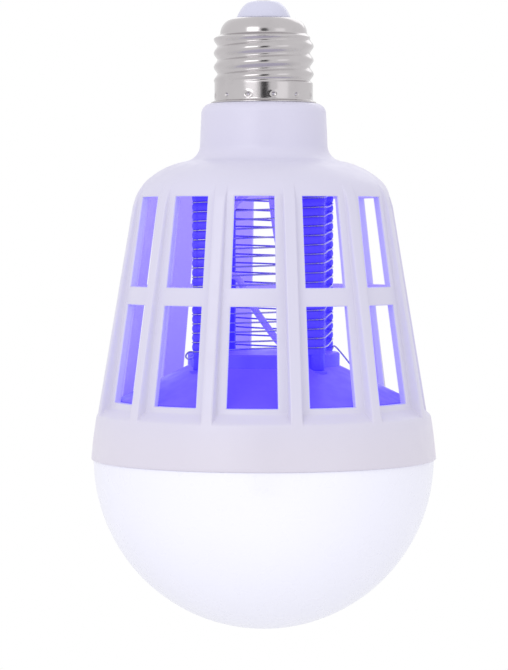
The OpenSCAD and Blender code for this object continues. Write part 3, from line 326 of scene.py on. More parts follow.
class SharedEffects:
    """The effects that several finishes use, each a node group that is built once."""

    LAMP_HEIGHT = -0.0495

    def __init__(self) -> None:
        """Builds the three groups."""
        self.grain = self._grain()
        self.drawn = self._drawn()
        self.lamp_light = self._lamp_light()

    @staticmethod
    def _grain() -> bpy.types.NodeTree:
        """Fine moulding grain: a height for bump and a slow tone that wanders about 1."""
        work, given, sink = new_group("moulding_grain", {"Size": 2200.0, "Mottle": 0.03}, ["Height", "Tone"])
        place = work.place()
        fine = work.noise(given["Size"], 3.0, place)
        slow = work.noise(45.0, 3.0, place)
        centred = work.math("SUBTRACT", slow, 0.5)
        tone = work.math("MULTIPLY_ADD", centred, work.math("MULTIPLY", given["Mottle"], 2.0), 1.0)
        work.tree.links.new(fine, sink.inputs["Height"])
        work.tree.links.new(tone, sink.inputs["Tone"])
        return work.tree

    @staticmethod
    def _drawn() -> bpy.types.NodeTree:
        """Drawn or spun metal: fine lines round the axis, and patches of duller plate."""
        work, given, sink = new_group("spun_lines", {"Lines": 900.0, "Dulling": 0.5}, ["Height", "Dull"])
        place = work.place()
        stretch = work.vector("MULTIPLY", place, (0.12, 0.12, 1.0))
        lines = work.noise(given["Lines"], 4.0, stretch)
        patches = work.noise(160.0, 4.0, place)
        dull = work.math("MULTIPLY", work.ramp(patches, 0.42, 0.7), given["Dulling"])
        work.tree.links.new(lines, sink.inputs["Height"])
        work.tree.links.new(dull, sink.inputs["Dull"])
        return work.tree

    def _lamp_light(self) -> bpy.types.NodeTree:
        """Light from the ring of violet lamps, worked out on the surface.

        Amount is spill + (1 - spill) * max(0, normal . towards the lamps) / (1 + (distance / reach)^2).
        """
        work, given, sink = new_group("violet_lamp_light", {"Reach": 0.06, "Spill": 0.35}, ["Amount"])
        coordinates = work.add("TexCoord")
        to_lamp = work.vector("SUBTRACT", (0.0, 0.0, self.LAMP_HEIGHT), coordinates.outputs["Object"])
        distance = work.vector("LENGTH", to_lamp)
        facing = work.vector("DOT_PRODUCT", coordinates.outputs["Normal"], work.vector("NORMALIZE", to_lamp))
        ratio = work.math("DIVIDE", distance, given["Reach"])
        fall = work.math("DIVIDE", 1.0, work.math("MULTIPLY_ADD", ratio, ratio, 1.0))
        direct = work.math("MULTIPLY", work.math("MAXIMUM", facing, 0.0), fall)
        rest = work.math("SUBTRACT", 1.0, given["Spill"])
        amount = work.math("MULTIPLY_ADD", direct, rest, given["Spill"], clamp=True)
        work.tree.links.new(amount, sink.inputs["Amount"])
        return work.tree


EFFECTS = SharedEffects()


# Finishes


def new_material(name: str) -> tuple[bpy.types.Material, Tree]:
    """Starts a material with an empty tree."""
    material = bpy.data.materials.new(name)
    material.use_nodes = True
    material.node_tree.nodes.clear()
    return material, Tree(material.node_tree)


def bump(work: Tree, height: Socket, depth_mm: float, strength: float = 0.5) -> Socket:
    """Returns a normal from a height of 0 to 1 that stands for a depth in millimetres."""
    sockets = {"Height": height, "Distance": depth_mm * MM, "Strength": strength}
    return work.add("Bump", sockets).outputs["Normal"]


def grained(work: Tree, colour: Triple, size: float, mottle: float, depth_mm: float,
            strength: float = 0.5) -> dict:
    """Returns the shader's colour and normal for a colour with moulding grain."""
    grain = work.group(EFFECTS.grain, Size=size, Mottle=mottle)
    return {
        "Base Color": work.tinted(colour, grain.outputs["Tone"]),
        "Normal": bump(work, grain.outputs["Height"], depth_mm, strength),
    }


@dataclass(frozen=True)
class Glow:
    """The violet lamps' light on a finish.

    Attributes:
        colour: what the lit surface gives off.
        strength: how strong that is where the light falls fully.
        reach, spill: the values of the shared effect violet_lamp_light.
    """

    colour: Colour = srgb(88, 70, 255)
    strength: float = 0.6
    reach: float = 0.06
    spill: float = 0.32

    def sockets(self, work: Tree, share: Amount = 1.0) -> dict:
        """Returns the shader's emission, kept to a share of the surface."""
        light = work.group(EFFECTS.lamp_light, Reach=self.reach, Spill=self.spill)
        amount = work.math("MULTIPLY", light.outputs["Amount"], share)
        return {"Emission Color": work.tinted(self.colour, amount), "Emission Strength": self.strength}


@dataclass(frozen=True)
class Finish:
    """A named finish, whose sockets say what its shader takes."""

    name: str

    def sockets(self, work: Tree) -> dict:
        """Returns the shader's inputs, each a value or a socket."""
        raise NotImplementedError

    def build(self) -> bpy.types.Material:
        """Returns the material, a Principled BSDF that takes the finish's sockets."""
        material, work = new_material(self.name)
        shader = work.add("BsdfPrincipled", self.sockets(work))
        work.add("OutputMaterial", {"Surface": shader.outputs[0]})
        return material


@dataclass(frozen=True)
class Moulded(Finish):
    """Moulded plastic with a fine grain, lit by the violet lamps where it has a glow."""

    colour: Colour
    roughness: float = 0.4
    mottle: float = 0.03
    glow: Glow | None = None

    def sockets(self, work: Tree) -> dict:
        """Returns the shader's inputs."""
        lit = self.glow.sockets(work) if self.glow else {}
        rough = work.uneven(300.0, self.roughness - 0.05, self.roughness + 0.06)
        return lit | grained(work, self.colour, 2400.0, self.mottle, 0.012) | {"Roughness": rough}


@dataclass(frozen=True)
class HousingPlastic(Finish):
    """White housing plastic that the violet lamps light from inside.

    Attributes:
        panel_r, panel_z, panel_slope: the recessed panel's radius at one height, and its gain per drop.
        top_z, bottom_z: the heights between which the windows' edges glow.
        warm_low_z, warm_high_z: the heights over which the colour turns into that of the band.
        depth: how far into the wall the glow takes to fill in.
        fade: how far the glow takes to fade above and below the windows.
        jamb_share: how much of the glow the windows' edges show.
    """

    name: str = "housing_plastic"
    colour: Colour = srgb(216, 213, 234)
    warm: Colour = srgb(219, 214, 229)
    # inner: the violet lamps' light on the faces that look inwards, painted in as their colour.
    inner: Colour = srgb(192, 184, 250)
    glow: Glow = Glow(srgb(152, 137, 255), 0.95, 0.05, 0.4)
    panel_r: float = 32.95 * MM
    panel_z: float = -51.27 * MM
    panel_slope: float = 0.1418
    top_z: float = -50.4 * MM
    bottom_z: float = -104.4 * MM
    warm_low_z: float = -118.0 * MM
    warm_high_z: float = -100.0 * MM
    depth: float = 2.2 * MM
    fade: float = 0.5 * MM
    jamb_share: float = 0.12

    def lit_share(self, work: Tree) -> Socket:
        """Returns how far a place shows the violet lamps' light, painted in as colour and glow.

        That is 1 where the surface faces the axis, and jamb_share on the windows' edges.
        """
        height = work.height()
        flat = work.vector("MULTIPLY", work.place(), (1.0, 1.0, 0.0))
        radius = work.vector("LENGTH", flat)
        drop = work.math("SUBTRACT", self.panel_z, height)
        skin = work.math("MULTIPLY_ADD", drop, self.panel_slope, self.panel_r)
        depth = work.ramp(work.math("SUBTRACT", skin, radius), 0.3 * MM, self.depth)
        above = work.ramp(height, self.top_z, self.top_z + self.fade, 1.0, 0.0)
        below = work.ramp(height, self.bottom_z - self.fade, self.bottom_z)
        jamb = work.math("MULTIPLY", depth, self.jamb_share)
        edge = work.math("MULTIPLY", jamb, work.math("MULTIPLY", above, below))
        normal = work.add("TexCoord").outputs["Normal"]
        outward = work.vector("DOT_PRODUCT", normal, work.vector("NORMALIZE", flat))
        return work.math("MAXIMUM", edge, work.ramp(outward, -0.5, -0.05, 1.0, 0.0))

    def sockets(self, work: Tree) -> dict:
        """Returns the shader's inputs."""
        inside = self.lit_share(work)
        band = work.ramp(work.height(), self.warm_low_z, self.warm_high_z, 1.0, 0.0)
        skin = grained(work, work.blend(band, self.colour, self.warm), 2400.0, 0.02, 0.01)
        # Faces that look inwards, and a little of the windows' edges, take the violet lamps' light painted
        # into their colour.
        skin["Base Color"] = work.blend(inside, skin["Base Color"], self.inner)
        return skin | self.glow.sockets(work, inside) | {"Roughness": work.uneven(260.0, 0.33, 0.45)}


@dataclass(frozen=True)
class OpalDome(Finish):
    """Opal plastic that the white lamps light from behind, weaker where the surface turns away.

    Attributes:
        colour, light: the plastic's own colour and the light that comes through.
        strength: how strong that light is.
        rim_z, rim_depth: the band's lower edge, and how far below it the light takes to reach full strength.
        rim_share: the light's strength at the edge.
    """

    name: str = "opal_dome"
    colour: Colour = srgb(234, 234, 248)
    light: Colour = srgb(250, 248, 250)
    strength: float = 0.145
    rim_z: float = -120.1 * MM
    rim_depth: float = 16 * MM
    rim_share: float = 0.85

    def sockets(self, work: Tree) -> dict:
        """Returns the shader's inputs."""
        rise = work.ramp(work.height(), self.rim_z - self.rim_depth, self.rim_z, 1.0, self.rim_share)
        away = work.add("LayerWeight", {"Blend": 0.5}).outputs["Facing"]
        toward = work.math("MULTIPLY", work.math("SUBTRACT", 1.0, away), rise)
        return grained(work, self.colour, 1800.0, 0.012, 0.006, 0.4) | {
            "Roughness": work.uneven(180.0, 0.26, 0.34),
            "Coat Weight": 0.15,
            "Emission Color": work.tinted(self.light, toward),
            "Emission Strength": self.strength,
        }


@dataclass(frozen=True)
class Plated(Finish):
    """Plated or bare metal with fine drawn lines and duller patches."""

    colour: Colour
    roughness: float = 0.12
    lines: float = 900.0
    line_mm: float = 0.004
    dulling: float = 0.4
    glow: Glow | None = None

    def sockets(self, work: Tree) -> dict:
        """Returns the shader's inputs."""
        metal = work.group(EFFECTS.drawn, Lines=self.lines, Dulling=self.dulling)
        dull = metal.outputs["Dull"]
        darker = tuple(0.8 * part for part in self.colour)
        lit = self.glow.sockets(work) if self.glow else {}
        return lit | {
            "Base Color": work.blend(dull, self.colour, darker),
            "Metallic": 1.0,
            "Roughness": work.math("MULTIPLY_ADD", dull, 0.18, self.roughness),
            "Normal": bump(work, metal.outputs["Height"], self.line_mm, 0.4),
        }


@dataclass(frozen=True)
class CircuitBoard(Finish):
    """Solder mask with copper tracks under it and rows of bare pads."""

    mask: Colour
    track: Colour
    pad: Colour = srgb(205, 205, 200)
    pitch: float = 2.54 * MM

    def sockets(self, work: Tree) -> dict:
        """Returns the shader's inputs."""
        place = work.place()
        cells = work.add("TexVoronoi", {"Vector": place, "Scale": 1 / self.pitch, "Randomness": 0.25})
        pads = work.ramp(cells.outputs["Distance"], 0.14, 0.18, 1.0, 0.0)
        wander = work.noise(320.0, 0.0, place)
        tracks = work.ramp(work.math("PINGPONG", wander, 0.06), 0.022, 0.03)
        return {
            "Base Color": work.blend(pads, work.blend(tracks, self.track, self.mask), self.pad),
            "Metallic": work.math("MULTIPLY", pads, 0.9),
            "Roughness": work.uneven(500.0, 0.28, 0.42),
            "Normal": bump(work, tracks, 0.03, 0.6),
        }


@dataclass(frozen=True)
class Wound(Finish):
    """A dark core with a taped copper winding, whose turns show through the tape."""

    core: Colour
    tape: Colour
    low_z: float
    high_z: float
    turn_pitch: float = 0.25 * MM

    def sockets(self, work: Tree) -> dict:
        """Returns the shader's inputs."""
        height = work.height()
        inside = work.math("MULTIPLY", work.math("GREATER_THAN", height, self.low_z),
                           work.math("LESS_THAN", height, self.high_z))
        turns = work.math("SINE", work.math("MULTIPLY", height, 2 * math.pi / self.turn_pitch))
        speck = work.ramp(work.noise(900.0), 0.35, 0.65, 0.85, 1.1)
        return {
            "Base Color": work.blend(inside, work.tinted(self.core, speck), self.tape),
            "Roughness": work.uneven(400.0, 0.4, 0.6),
            "Normal": bump(work, work.math("MULTIPLY", turns, inside), 0.05),
        }


@dataclass(frozen=True)
class Banded(Finish):
    """A lacquered component with rings of another tone about its middle."""

    colour: Colour
    band: Colour
    spacing: float = 1.6 * MM
    roughness: float = 0.3

    def sockets(self, work: Tree) -> dict:
        """Returns the shader's inputs."""
        wave = work.math("PINGPONG", work.height(), self.spacing)
        bands = work.ramp(wave, 0.25 * self.spacing, 0.3 * self.spacing, 1.0, 0.0)
        skin = grained(work, self.colour, 1500.0, 0.05, 0.01)
        skin["Base Color"] = work.blend(bands, skin["Base Color"], self.band)
        return skin | {"Roughness": work.uneven(420.0, self.roughness, self.roughness + 0.12)}


@dataclass(frozen=True)
class LampLens(Finish):
    """A small lamp: a lit phosphor or lens with a fine speckle."""

    lens: Colour
    light: Colour
    strength: float

    def sockets(self, work: Tree) -> dict:
        """Returns the shader's inputs."""
        speck = work.uneven(2600.0, 0.85, 1.0)
        return {
            "Base Color": work.tinted(self.lens, speck),
            "Roughness": 0.2,
            "Emission Color": work.tinted(self.light, speck),
            "Emission Strength": self.strength,
        }


# Pieces


def placed(name: str, data: bpy.types.ID) -> bpy.types.Object:
    """Returns a new object of a mesh, a lamp or a camera, put into the scene."""
    made = bpy.data.objects.new(name, data)
    bpy.context.scene.collection.objects.link(made)
    return made


class Smoothing(Enum):
    """How far two faces may turn before the edge between them is sharp, in degrees."""

    SOFT = 60.0
    CRISP = 32.0


class Workshop:
    """Makes pieces, dresses the solids that stay, and keeps the materials by slot."""

    def __init__(self) -> None:
        """Starts with no finishes."""
        self.materials: dict[str, bpy.types.Material] = {}

    def finish(self, slot: str, finish: Finish) -> None:
        """Builds the finish of one of the record's material slots."""
        self.materials[slot] = finish.build()

    def piece(self, name: str, surface: Surface, slot: str, *replaced: str,
              smoothing: Smoothing = Smoothing.CRISP) -> bpy.types.Object:
        """Makes a piece of the lamp that rides with its body.

        Points that meet are merged, which closes the poles, and the faces are turned outwards if the
        signed volume, the sum of a . (b x c) / 6 over the triangles, is negative.

        Args:
            name: the piece's name.
            surface: its shape in millimetres.
            slot: the record's material slot.
            replaced: the solids that it stands for.
            smoothing: how its edges are shaded.

        Returns:
            The new object.
        """
        q = surface.quads
        a, b, c, d = (surface.points[q[:, k]] for k in range(4))
        volume = (a * np.cross(b, c)).sum() + (a * np.cross(c, d)).sum()
        faces = (q if volume > 0 else q[:, ::-1]).tolist() + surface.caps
        mesh = bpy.data.meshes.new(name)
        mesh.from_pydata((surface.points * MM).tolist(), [], faces)
        mesh.update()
        piece = placed(name, mesh)
        self._merge_points(mesh)
        mesh.shade_smooth()
        mesh.set_sharp_from_angle(angle=math.radians(smoothing.value))
        mesh.materials.append(self.materials[slot])
        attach(piece, BODY)
        if replaced:
            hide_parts(*replaced)
        log.info("%s: %d faces for %s", name, len(mesh.polygons), ", ".join(replaced) or "detail")
        return piece

    @staticmethod
    def _merge_points(mesh: bpy.types.Mesh) -> None:
        """Merges points that meet and leaves out the faces that this flattens."""
        work = bmesh.new()
        work.from_mesh(mesh)
        bmesh.ops.remove_doubles(work, verts=work.verts, dist=1e-7)
        bmesh.ops.dissolve_degenerate(work, edges=work.edges, dist=1e-8)
        work.to_mesh(mesh)
        work.free()

    def dress(self, node: str, slot: str) -> None:
        """Gives a solid that stays the material of its slot."""
        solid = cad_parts[node]
        solid.data.materials.clear()
        solid.data.materials.append(self.materials[slot])
        log.info("%s: finished as %s", node, slot)


# The lamp's heights


@dataclass
class Levels:
    """Sizes in millimetres that more than one sub-assembly needs, and the heights they give."""

    contact_proud: float = 0.2
    insulator_h: float = 4.3
    shell_shoulder_h: float = 4.1
    thread_pitch: float = 3.629
    thread_turns: float = 3.6
    skirt_h: float = 4.7
    shell_wall: float = 0.35
    skirt_r: float = 12.85
    collar_round: float = 2.7
    neck_h: float = 8.0
    neck_r: float = 16.65
    neck_fillet_r: float = 4.4
    wall: float = 2.0
    shoulder_inner_r: float = 20.7
    shoulder_outer_r: float = 12.6
    panel_inset: float = 5.1
    rib_lean: float = 9.7
    panel_lean: float = 8.07
    window_drop: float = 4.5
    upper_window_h: float = 22.95
    bar_h: float = 4.7
    lower_window_h: float = 25.2
    sill_gap: float = 1.3
    sill_h: float = 2.6
    band_h: float = 11.5
    band_flare: float = 1.42
    fillet_slope: float = 10.0
    mid_slope: float = 42.0
    deck_rise: float = 0.2
    deck_drop: float = 3.5
    deck_slope: float = 25.5
    pedestal_r: float = 19.9
    pedestal_h: float = 3.5
    bore_inset: float = 2.65
    plate_drop: float = 3.2
    top_plate_drop: float = 4.1
    deck_gap: float = 0.6

    def __post_init__(self) -> None:
        """Works out the heights, radii and outlines from the contact down."""
        self.shell_top = -self.contact_proud - self.insulator_h
        self.thread_top = self.shell_top - self.shell_shoulder_h
        self.skirt_top = self.thread_top - self.thread_turns * self.thread_pitch
        self.rim = self.skirt_top - self.skirt_h
        self.collar = self.rim - self.shell_wall
        self.neck_end = self.collar - self.collar_round - self.neck_h
        # The centres of the hollow curve under the neck and of the shoulder's flat curve, and where that ends
        self.fillet_centre = np.array([self.neck_r + self.neck_fillet_r, self.neck_end])
        reach = self.neck_fillet_r + self.shoulder_inner_r
        self.inner_centre = on_arc(self.fillet_centre, -reach, self.fillet_slope)
        self.shoulder_mid = on_arc(self.inner_centre, self.shoulder_inner_r, self.mid_slope)
        self.window_top = self.shoulder_mid[1] - self.window_drop
        self.bar_top = self.window_top - self.upper_window_h
        self.bar_bottom = self.bar_top - self.bar_h
        self.window_bottom = self.bar_bottom - self.lower_window_h
        self.sill_top = self.window_bottom - self.sill_gap
        self.band_top = self.sill_top - self.sill_h
        self.band_bottom = self.band_top - self.band_h
        # The outlines over the ribs, over the recessed panels and of the cage's inner wall
        self.rib_curve = self.lean_curve(self.shoulder_outer_r, self.rib_lean, 0.0)
        panel_bend_r = self.shoulder_outer_r - self.panel_inset
        self.panel_curve = self.lean_curve(panel_bend_r, self.panel_lean, 0.0)
        self.inner_curve = self.lean_curve(panel_bend_r, self.panel_lean, self.wall)
        self.band_top_r = radius_at(self.rib_curve, self.band_top)
        self.band_bottom_r = self.band_top_r + self.band_flare
        self.collar_bore_r = self.band_bottom_r - self.bore_inset
        # The step that the deck's flange is pushed up against, and the faces of both plates and the pedestal
        self.deck_step = self.window_bottom - self.deck_drop
        self.plate = self.deck_step - self.plate_drop
        fillet_end = on_arc(self.fillet_centre, -self.neck_fillet_r, self.fillet_slope)
        self.top_plate = fillet_end[1] - self.top_plate_drop
        self.pedestal_top = self.deck_at(self.pedestal_r) + self.pedestal_h

    def lean_curve(self, radius: float, lean: float, inset: float) -> Array:
        """Outline of the cage below the shoulder's middle, as a tight curve and then a leaning line.

        Args:
            radius: radius of the tight curve.
            lean: the line's lean from upright, in degrees.
            inset: how far the outline lies inside.

        Returns:
            The outline's points of (radius, height), ending a little below the band's top.
        """
        centre = on_arc(self.shoulder_mid, -radius, self.mid_slope)
        bend = arc(centre, radius - inset, self.mid_slope, 90 - lean, 40)
        fall = bend[-1, 1] - (self.band_top - 6)
        foot = bend[-1] + fall * np.array([math.tan(math.radians(lean)), -1])
        return np.concatenate([bend, [foot]])

    def deck_at(self, radius: float) -> float:
        """Height of the deck's slope at a radius."""
        edge_r = radius_at(self.panel_curve, self.deck_step) - self.wall - self.deck_gap
        climb = (edge_r - radius) * math.tan(math.radians(self.deck_slope))
        return self.window_bottom + self.deck_rise + climb


def radius_at(outline: Array, height: Array | float) -> Array | float:
    """Reads an outline's radius at a height, straight between its points."""
    found = np.interp(-np.asarray(height, float), -outline[:, 1], outline[:, 0])
    return float(found) if np.ndim(height) == 0 else found


# Sub-assemblies


@dataclass(frozen=True)
class ScrewCap:
    """The nickel shell with its rolled thread, and the insulator that carries the contact."""

    levels: Levels
    crest_r: float = 13.05
    depth: float = 0.95
    rim_reach: float = 0.9
    hole_r: float = 7.2
    shoulder_end_r: float = 11.35
    phase: float = 90.0
    punches: int = 12
    punch_turn: float = 11.1
    punch_rise: float = 1.6
    dent: float = 0.55
    dent_r: float = 0.42
    ring_h: float = 0.10
    ring_r: float = 0.78
    ring_w: float = 0.28
    sides: int = 240
    contact_r: float = 2.4
    insulator_top_r: float = 5.8

    def shell_radius(self, angle: Array, z: Array) -> Array:
        """Outer radius of the shell below its shoulder.

        The thread is root + depth * w^0.8, where w = (1 + cos(360 z / pitch - angle + phase)) / 2, which
        rounds the crests and roots as rolling does. It fades into the shoulder and into the plain skirt.

        Args:
            angle: angle about the axis, counterclockwise from +X, in degrees.
            z: height.

        Returns:
            The radius at each place.
        """
        lv = self.levels
        wave = (1 + np.cos(np.radians(360 * z / lv.thread_pitch - angle + self.phase))) / 2
        thread = self.crest_r - self.depth + self.depth * wave**0.8
        top = smooth_step((lv.thread_top - z) / 1.3)
        low = smooth_step((z - lv.skirt_top) / 1.0)
        head = self.shoulder_end_r + (thread - self.shoulder_end_r) * top
        return lv.skirt_r + (head - lv.skirt_r) * low

    def shell(self) -> Surface:
        """The shell: an outer and an inner skin over angle and height, with punched crimp marks.

        The outer skin runs from the shoulder's hole down to the rim, and the inner one back up.
        """
        lv = self.levels
        angle = np.linspace(-90, 270, self.sides, endpoint=False)[None, :]
        sweep_up = np.radians(np.linspace(0, 90, 22))
        width = self.shoulder_end_r - self.hole_r
        shoulder_r = self.hole_r + width * np.sin(sweep_up)
        shoulder_z = lv.thread_top + lv.shell_shoulder_h * np.cos(sweep_up)
        body_z = np.linspace(lv.thread_top, lv.rim + 0.75, 165)[1:]
        body_r = self.shell_radius(angle, body_z[:, None]) + self._punch_relief(angle, body_z[:, None])
        rim_r, foot_z = lv.skirt_r + self.rim_reach, lv.collar + 0.02
        rim = rounded([(lv.skirt_r, lv.rim + 0.7), (lv.skirt_r + 0.05, lv.rim + 0.3), (rim_r, lv.rim),
                       (rim_r, foot_z), (rim_r - 0.25, foot_z)], [0, 0.4, 0.15, 0.15, 0], 5)
        inner_arc = np.radians(np.linspace(90, 0, 12))[1:]
        arc_r = self.hole_r + (width - lv.shell_wall) * np.sin(inner_arc)
        arc_z = lv.thread_top + (lv.shell_shoulder_h - lv.shell_wall) * np.cos(inner_arc)
        r = np.concatenate([
            self._all_round(shoulder_r), body_r, self._all_round(rim[:, 0]),
            self._all_round(lv.skirt_r - lv.shell_wall), body_r[::-2] - lv.shell_wall,
            self._all_round(self.shoulder_end_r - lv.shell_wall), self._all_round(arc_r),
        ])
        z = np.concatenate([shoulder_z, body_z, rim[:, 1], [foot_z], body_z[::-2], [shoulder_z[-1]], arc_z])
        a = np.radians(angle)
        points = np.stack([r * np.cos(a), r * np.sin(a), z[:, None] + 0 * r], axis=-1).reshape(-1, 3)
        return Surface(points, grid_quads(len(r), self.sides, True, True).reshape(-1, 4))

    def _all_round(self, radii: Array | float) -> Array:
        """Repeats plain radii for every angle."""
        return np.repeat(np.reshape(radii, (-1, 1)), self.sides, 1)

    def _punch_relief(self, angle: Array, z: Array) -> Array:
        """Crimp marks over angle and height.

        At a distance d from its middle, a mark is dent * e^(-(d / dent_r)^2) deep, and the ring round it
        is ring_h * e^(-((d - ring_r) / ring_w)^2) high.
        """
        lv = self.levels
        step = 360 / self.punches
        turn = (angle + 90 - self.punch_turn + step / 2) % step - step / 2
        across = np.radians(turn) * lv.skirt_r
        distance = np.hypot(across, z - (lv.rim + self.punch_rise))
        ring = self.ring_h * np.exp(-(((distance - self.ring_r) / self.ring_w) ** 2))
        return ring - self.dent * np.exp(-((distance / self.dent_r) ** 2))

    def insulator(self) -> Surface:
        """The insulator: a rounded crown turned about the axis, with the seat of the contact in its top."""
        lv = self.levels
        neck_r, seat_r, bore_r = self.hole_r - 0.1, self.contact_r + 0.05, 0.95
        top, seat_z = -lv.contact_proud, -0.45
        flange_r, foot_r = neck_r + 1.4, neck_r - 0.6
        flange_top = lv.shell_top - lv.shell_wall - 0.55
        flange_low, foot_z = flange_top - 1.2, flange_top - 2.6
        profile = rounded(
            [(bore_r, seat_z), (seat_r, seat_z), (seat_r, top), (self.contact_r + 1.7, top),
             (self.insulator_top_r + 0.1, -1.9), (neck_r, lv.shell_top + 0.2), (neck_r, flange_top),
             (flange_r, flange_top), (flange_r, flange_low), (foot_r, flange_low), (foot_r, foot_z),
             (bore_r, foot_z)],
            [0, 0.02, 0.2, 1.7, 1.4, 0.3, 0.05, 0.2, 0.2, 0.05, 0.2, 0], 8)
        return revolve(profile, 160, closed=True)

    def build(self, shop: Workshop) -> None:
        """Makes the cap's pieces."""
        shop.piece("cap_shell", self.shell(), "nickel", "screw_shell", smoothing=Smoothing.SOFT)
        shop.piece("insulator_crown", self.insulator(), "cap_plastic", "cap_insulator")
        shop.dress("centre_contact", "contact_metal")


def smooth_step(t: Array) -> Array:
    """Rises from 0 to 1 as t does, as 3 t^2 - 2 t^3, and stays there outside."""
    t = np.clip(t, 0, 1)
    return t * t * (3 - 2 * t)


@dataclass(frozen=True)
class Cage:
    """The housing: neck, shoulder, ribs, recessed panels, windows, sill and band in one moulding."""

    levels: Levels
    count: int = 12
    phase: float = -4.3
    window_top_w: float = 10.0
    window_bottom_w: float = 12.9
    edge_round: float = 0.42
    inner_round: float = 0.3
    spigot_h: float = 4.3
    spigot_wall: float = 1.5
    step_w: float = 1.75

    # A rib's section: distance from its middle, and share of its height
    RIB = np.array([
        (1.9, 0.0), (1.72, 0.03), (1.64, 0.14), (1.58, 0.36), (1.53, 0.62), (1.46, 0.82),
        (1.34, 0.93), (1.16, 0.98), (0.92, 1.0), (0.45, 1.0), (0.0, 1.0),
    ])
    # Steps away from a window's edge over which the edge is rounded, as shares of the rounding
    EDGE = np.array([0.0, 0.1, 0.28, 0.58, 1.0])
    # Steps above and below an edge of the sill
    CREASE = np.array([0.5, 0.25, 0.1, 0, -0.1, -0.25, -0.5])
    # Steps across half a window, as shares of its half width
    ACROSS = np.array([0.0, 0.25, 0.5, 0.75])

    def window_width(self, z: Array) -> Array:
        """Width of a window at a height."""
        lv = self.levels
        share = np.clip((lv.window_top - z) / (lv.window_top - lv.window_bottom), 0, 1)
        return self.window_top_w + (self.window_bottom_w - self.window_top_w) * share

    def window_rows(self) -> Array:
        """Heights of the rows that follow the windows and their rounded edges, from the top down."""
        lv = self.levels
        edge = self.EDGE * self.edge_round
        return np.concatenate([
            lv.window_top + edge[::-1], np.linspace(lv.window_top - 2.4, lv.bar_top + 2.4, 9),
            lv.bar_top - edge, [(lv.bar_top + lv.bar_bottom) / 2], lv.bar_bottom + edge[::-1],
            np.linspace(lv.bar_bottom - 2.4, lv.window_bottom + 2.4, 10), lv.window_bottom - edge,
        ])

    def row_distance(self, z: Array) -> Array:
        """Distance of a row above or below the nearest window, zero beside a window."""
        lv = self.levels
        upper = np.maximum(z - lv.window_top, lv.bar_top - z)
        lower = np.maximum(z - lv.bar_bottom, lv.window_bottom - z)
        return np.maximum(np.minimum(upper, lower), 0)

    def angles(self, radius: Array, z: Array) -> tuple[Array, Array]:
        """Angles of the columns of a half sector, from the window's middle to the rib's.

        Args:
            radius: the rows' radii.
            z: the rows' heights.

        Returns:
            The angles in radians, rows by columns, and each column's distance from the window's side.
        """
        lv = self.levels
        r = np.maximum(radius, lv.shoulder_mid[0])[:, None]
        half = self.window_width(z)[:, None] / 2
        edge = self.EDGE[None, :] * self.edge_round
        inside = np.arcsin(self.ACROSS[None, :] * half / r)
        beside = np.arcsin((half + edge) / r)
        rib = math.pi / self.count - np.arcsin(self.RIB[None, :, 0] / r)
        away = np.concatenate([0 * self.ACROSS, edge[0], np.full(len(self.RIB), 9.0)])
        return np.concatenate([inside, beside, rib], axis=1), away

    def skin(self, base: Array, top: Array, rounding: float, inward: float) -> Array:
        """Points of one skin: the base outline, raised to the top outline over the ribs.

        A window's edge is rounded by rho - sqrt(rho^2 - (rho - d)^2) at a distance d from it.

        Args:
            base: the rows' (radius, height) over the panels.
            top: the rows' (radius, height) over the ribs.
            rounding: the radius rho of the windows' edges.
            inward: 1 where rounding takes the skin inwards, -1 where outwards.

        Returns:
            The points, rows by columns by 3.
        """
        angle, away = self.angles(base[:, 0], base[:, 1])
        share = np.concatenate([np.zeros(len(away) - len(self.RIB)), self.RIB[:, 1]])
        distance = np.hypot(away[None, :], self.row_distance(base[:, 1])[:, None])
        gap = np.clip(rounding - distance, 0, rounding)
        inset = rounding - np.sqrt(np.maximum(rounding**2 - gap**2, 0))
        spot = base[:, None] + (top - base)[:, None] * share[None, :, None]
        radius = spot[..., 0] - inward * inset
        mirrored = [np.concatenate([sign * v[:, :0:-1], v], axis=1)[:, :-1]
                    for v, sign in ((angle, -1), (radius, 1), (spot[..., 1], 1))]
        angle, radius, height = (np.tile(v, self.count) for v in mirrored)
        sector = np.repeat(np.arange(self.count), mirrored[0].shape[1])
        angle = angle + np.radians(self.phase + sector * 360 / self.count)[None, :]
        return np.stack([radius * np.sin(angle), -radius * np.cos(angle), height], axis=-1)

    def outer_rows(self) -> tuple[Array, Array]:
        """Rows of the outer skin over the panels and over the ribs, from the spigot down."""
        lv = self.levels
        spigot_r = lv.skirt_r - lv.shell_wall - 0.05
        round_centre = (lv.neck_r - 0.35 - lv.collar_round, lv.collar - lv.collar_round)
        upper = np.concatenate([
            [(spigot_r, lv.collar + self.spigot_h), (spigot_r, lv.collar + 0.05)],
            [(spigot_r + 0.05, lv.collar)],
            arc(round_centre, lv.collar_round, 0, 90, 12),
            arc(lv.fillet_centre, -lv.neck_fillet_r, 90, lv.fillet_slope, 14),
            arc(lv.inner_centre, lv.shoulder_inner_r, lv.fillet_slope + 2, lv.mid_slope, 12),
        ])
        windows = self.window_rows()
        below = np.concatenate([
            lv.sill_top + self.CREASE, [(lv.sill_top + lv.band_top) / 2], lv.band_top + 1.2 * self.CREASE,
            np.linspace(lv.band_top - 2, lv.band_bottom + 1, 7),
        ])
        z = np.concatenate([np.linspace(lv.shoulder_mid[1] - 0.5, windows[0] + 0.4, 8), windows, below])
        base = np.stack([self._panel_radius(z), z], axis=1)
        top = np.stack([np.maximum(self._rib_radius(z), base[:, 0]), z], axis=1)
        edge_r, low = lv.band_bottom_r, lv.band_bottom
        lip = [(edge_r - 0.03, low + 0.3), (edge_r - 0.1, low + 0.1), (edge_r - 0.3, low)]
        return np.concatenate([upper, base, lip]), np.concatenate([upper, top, lip])

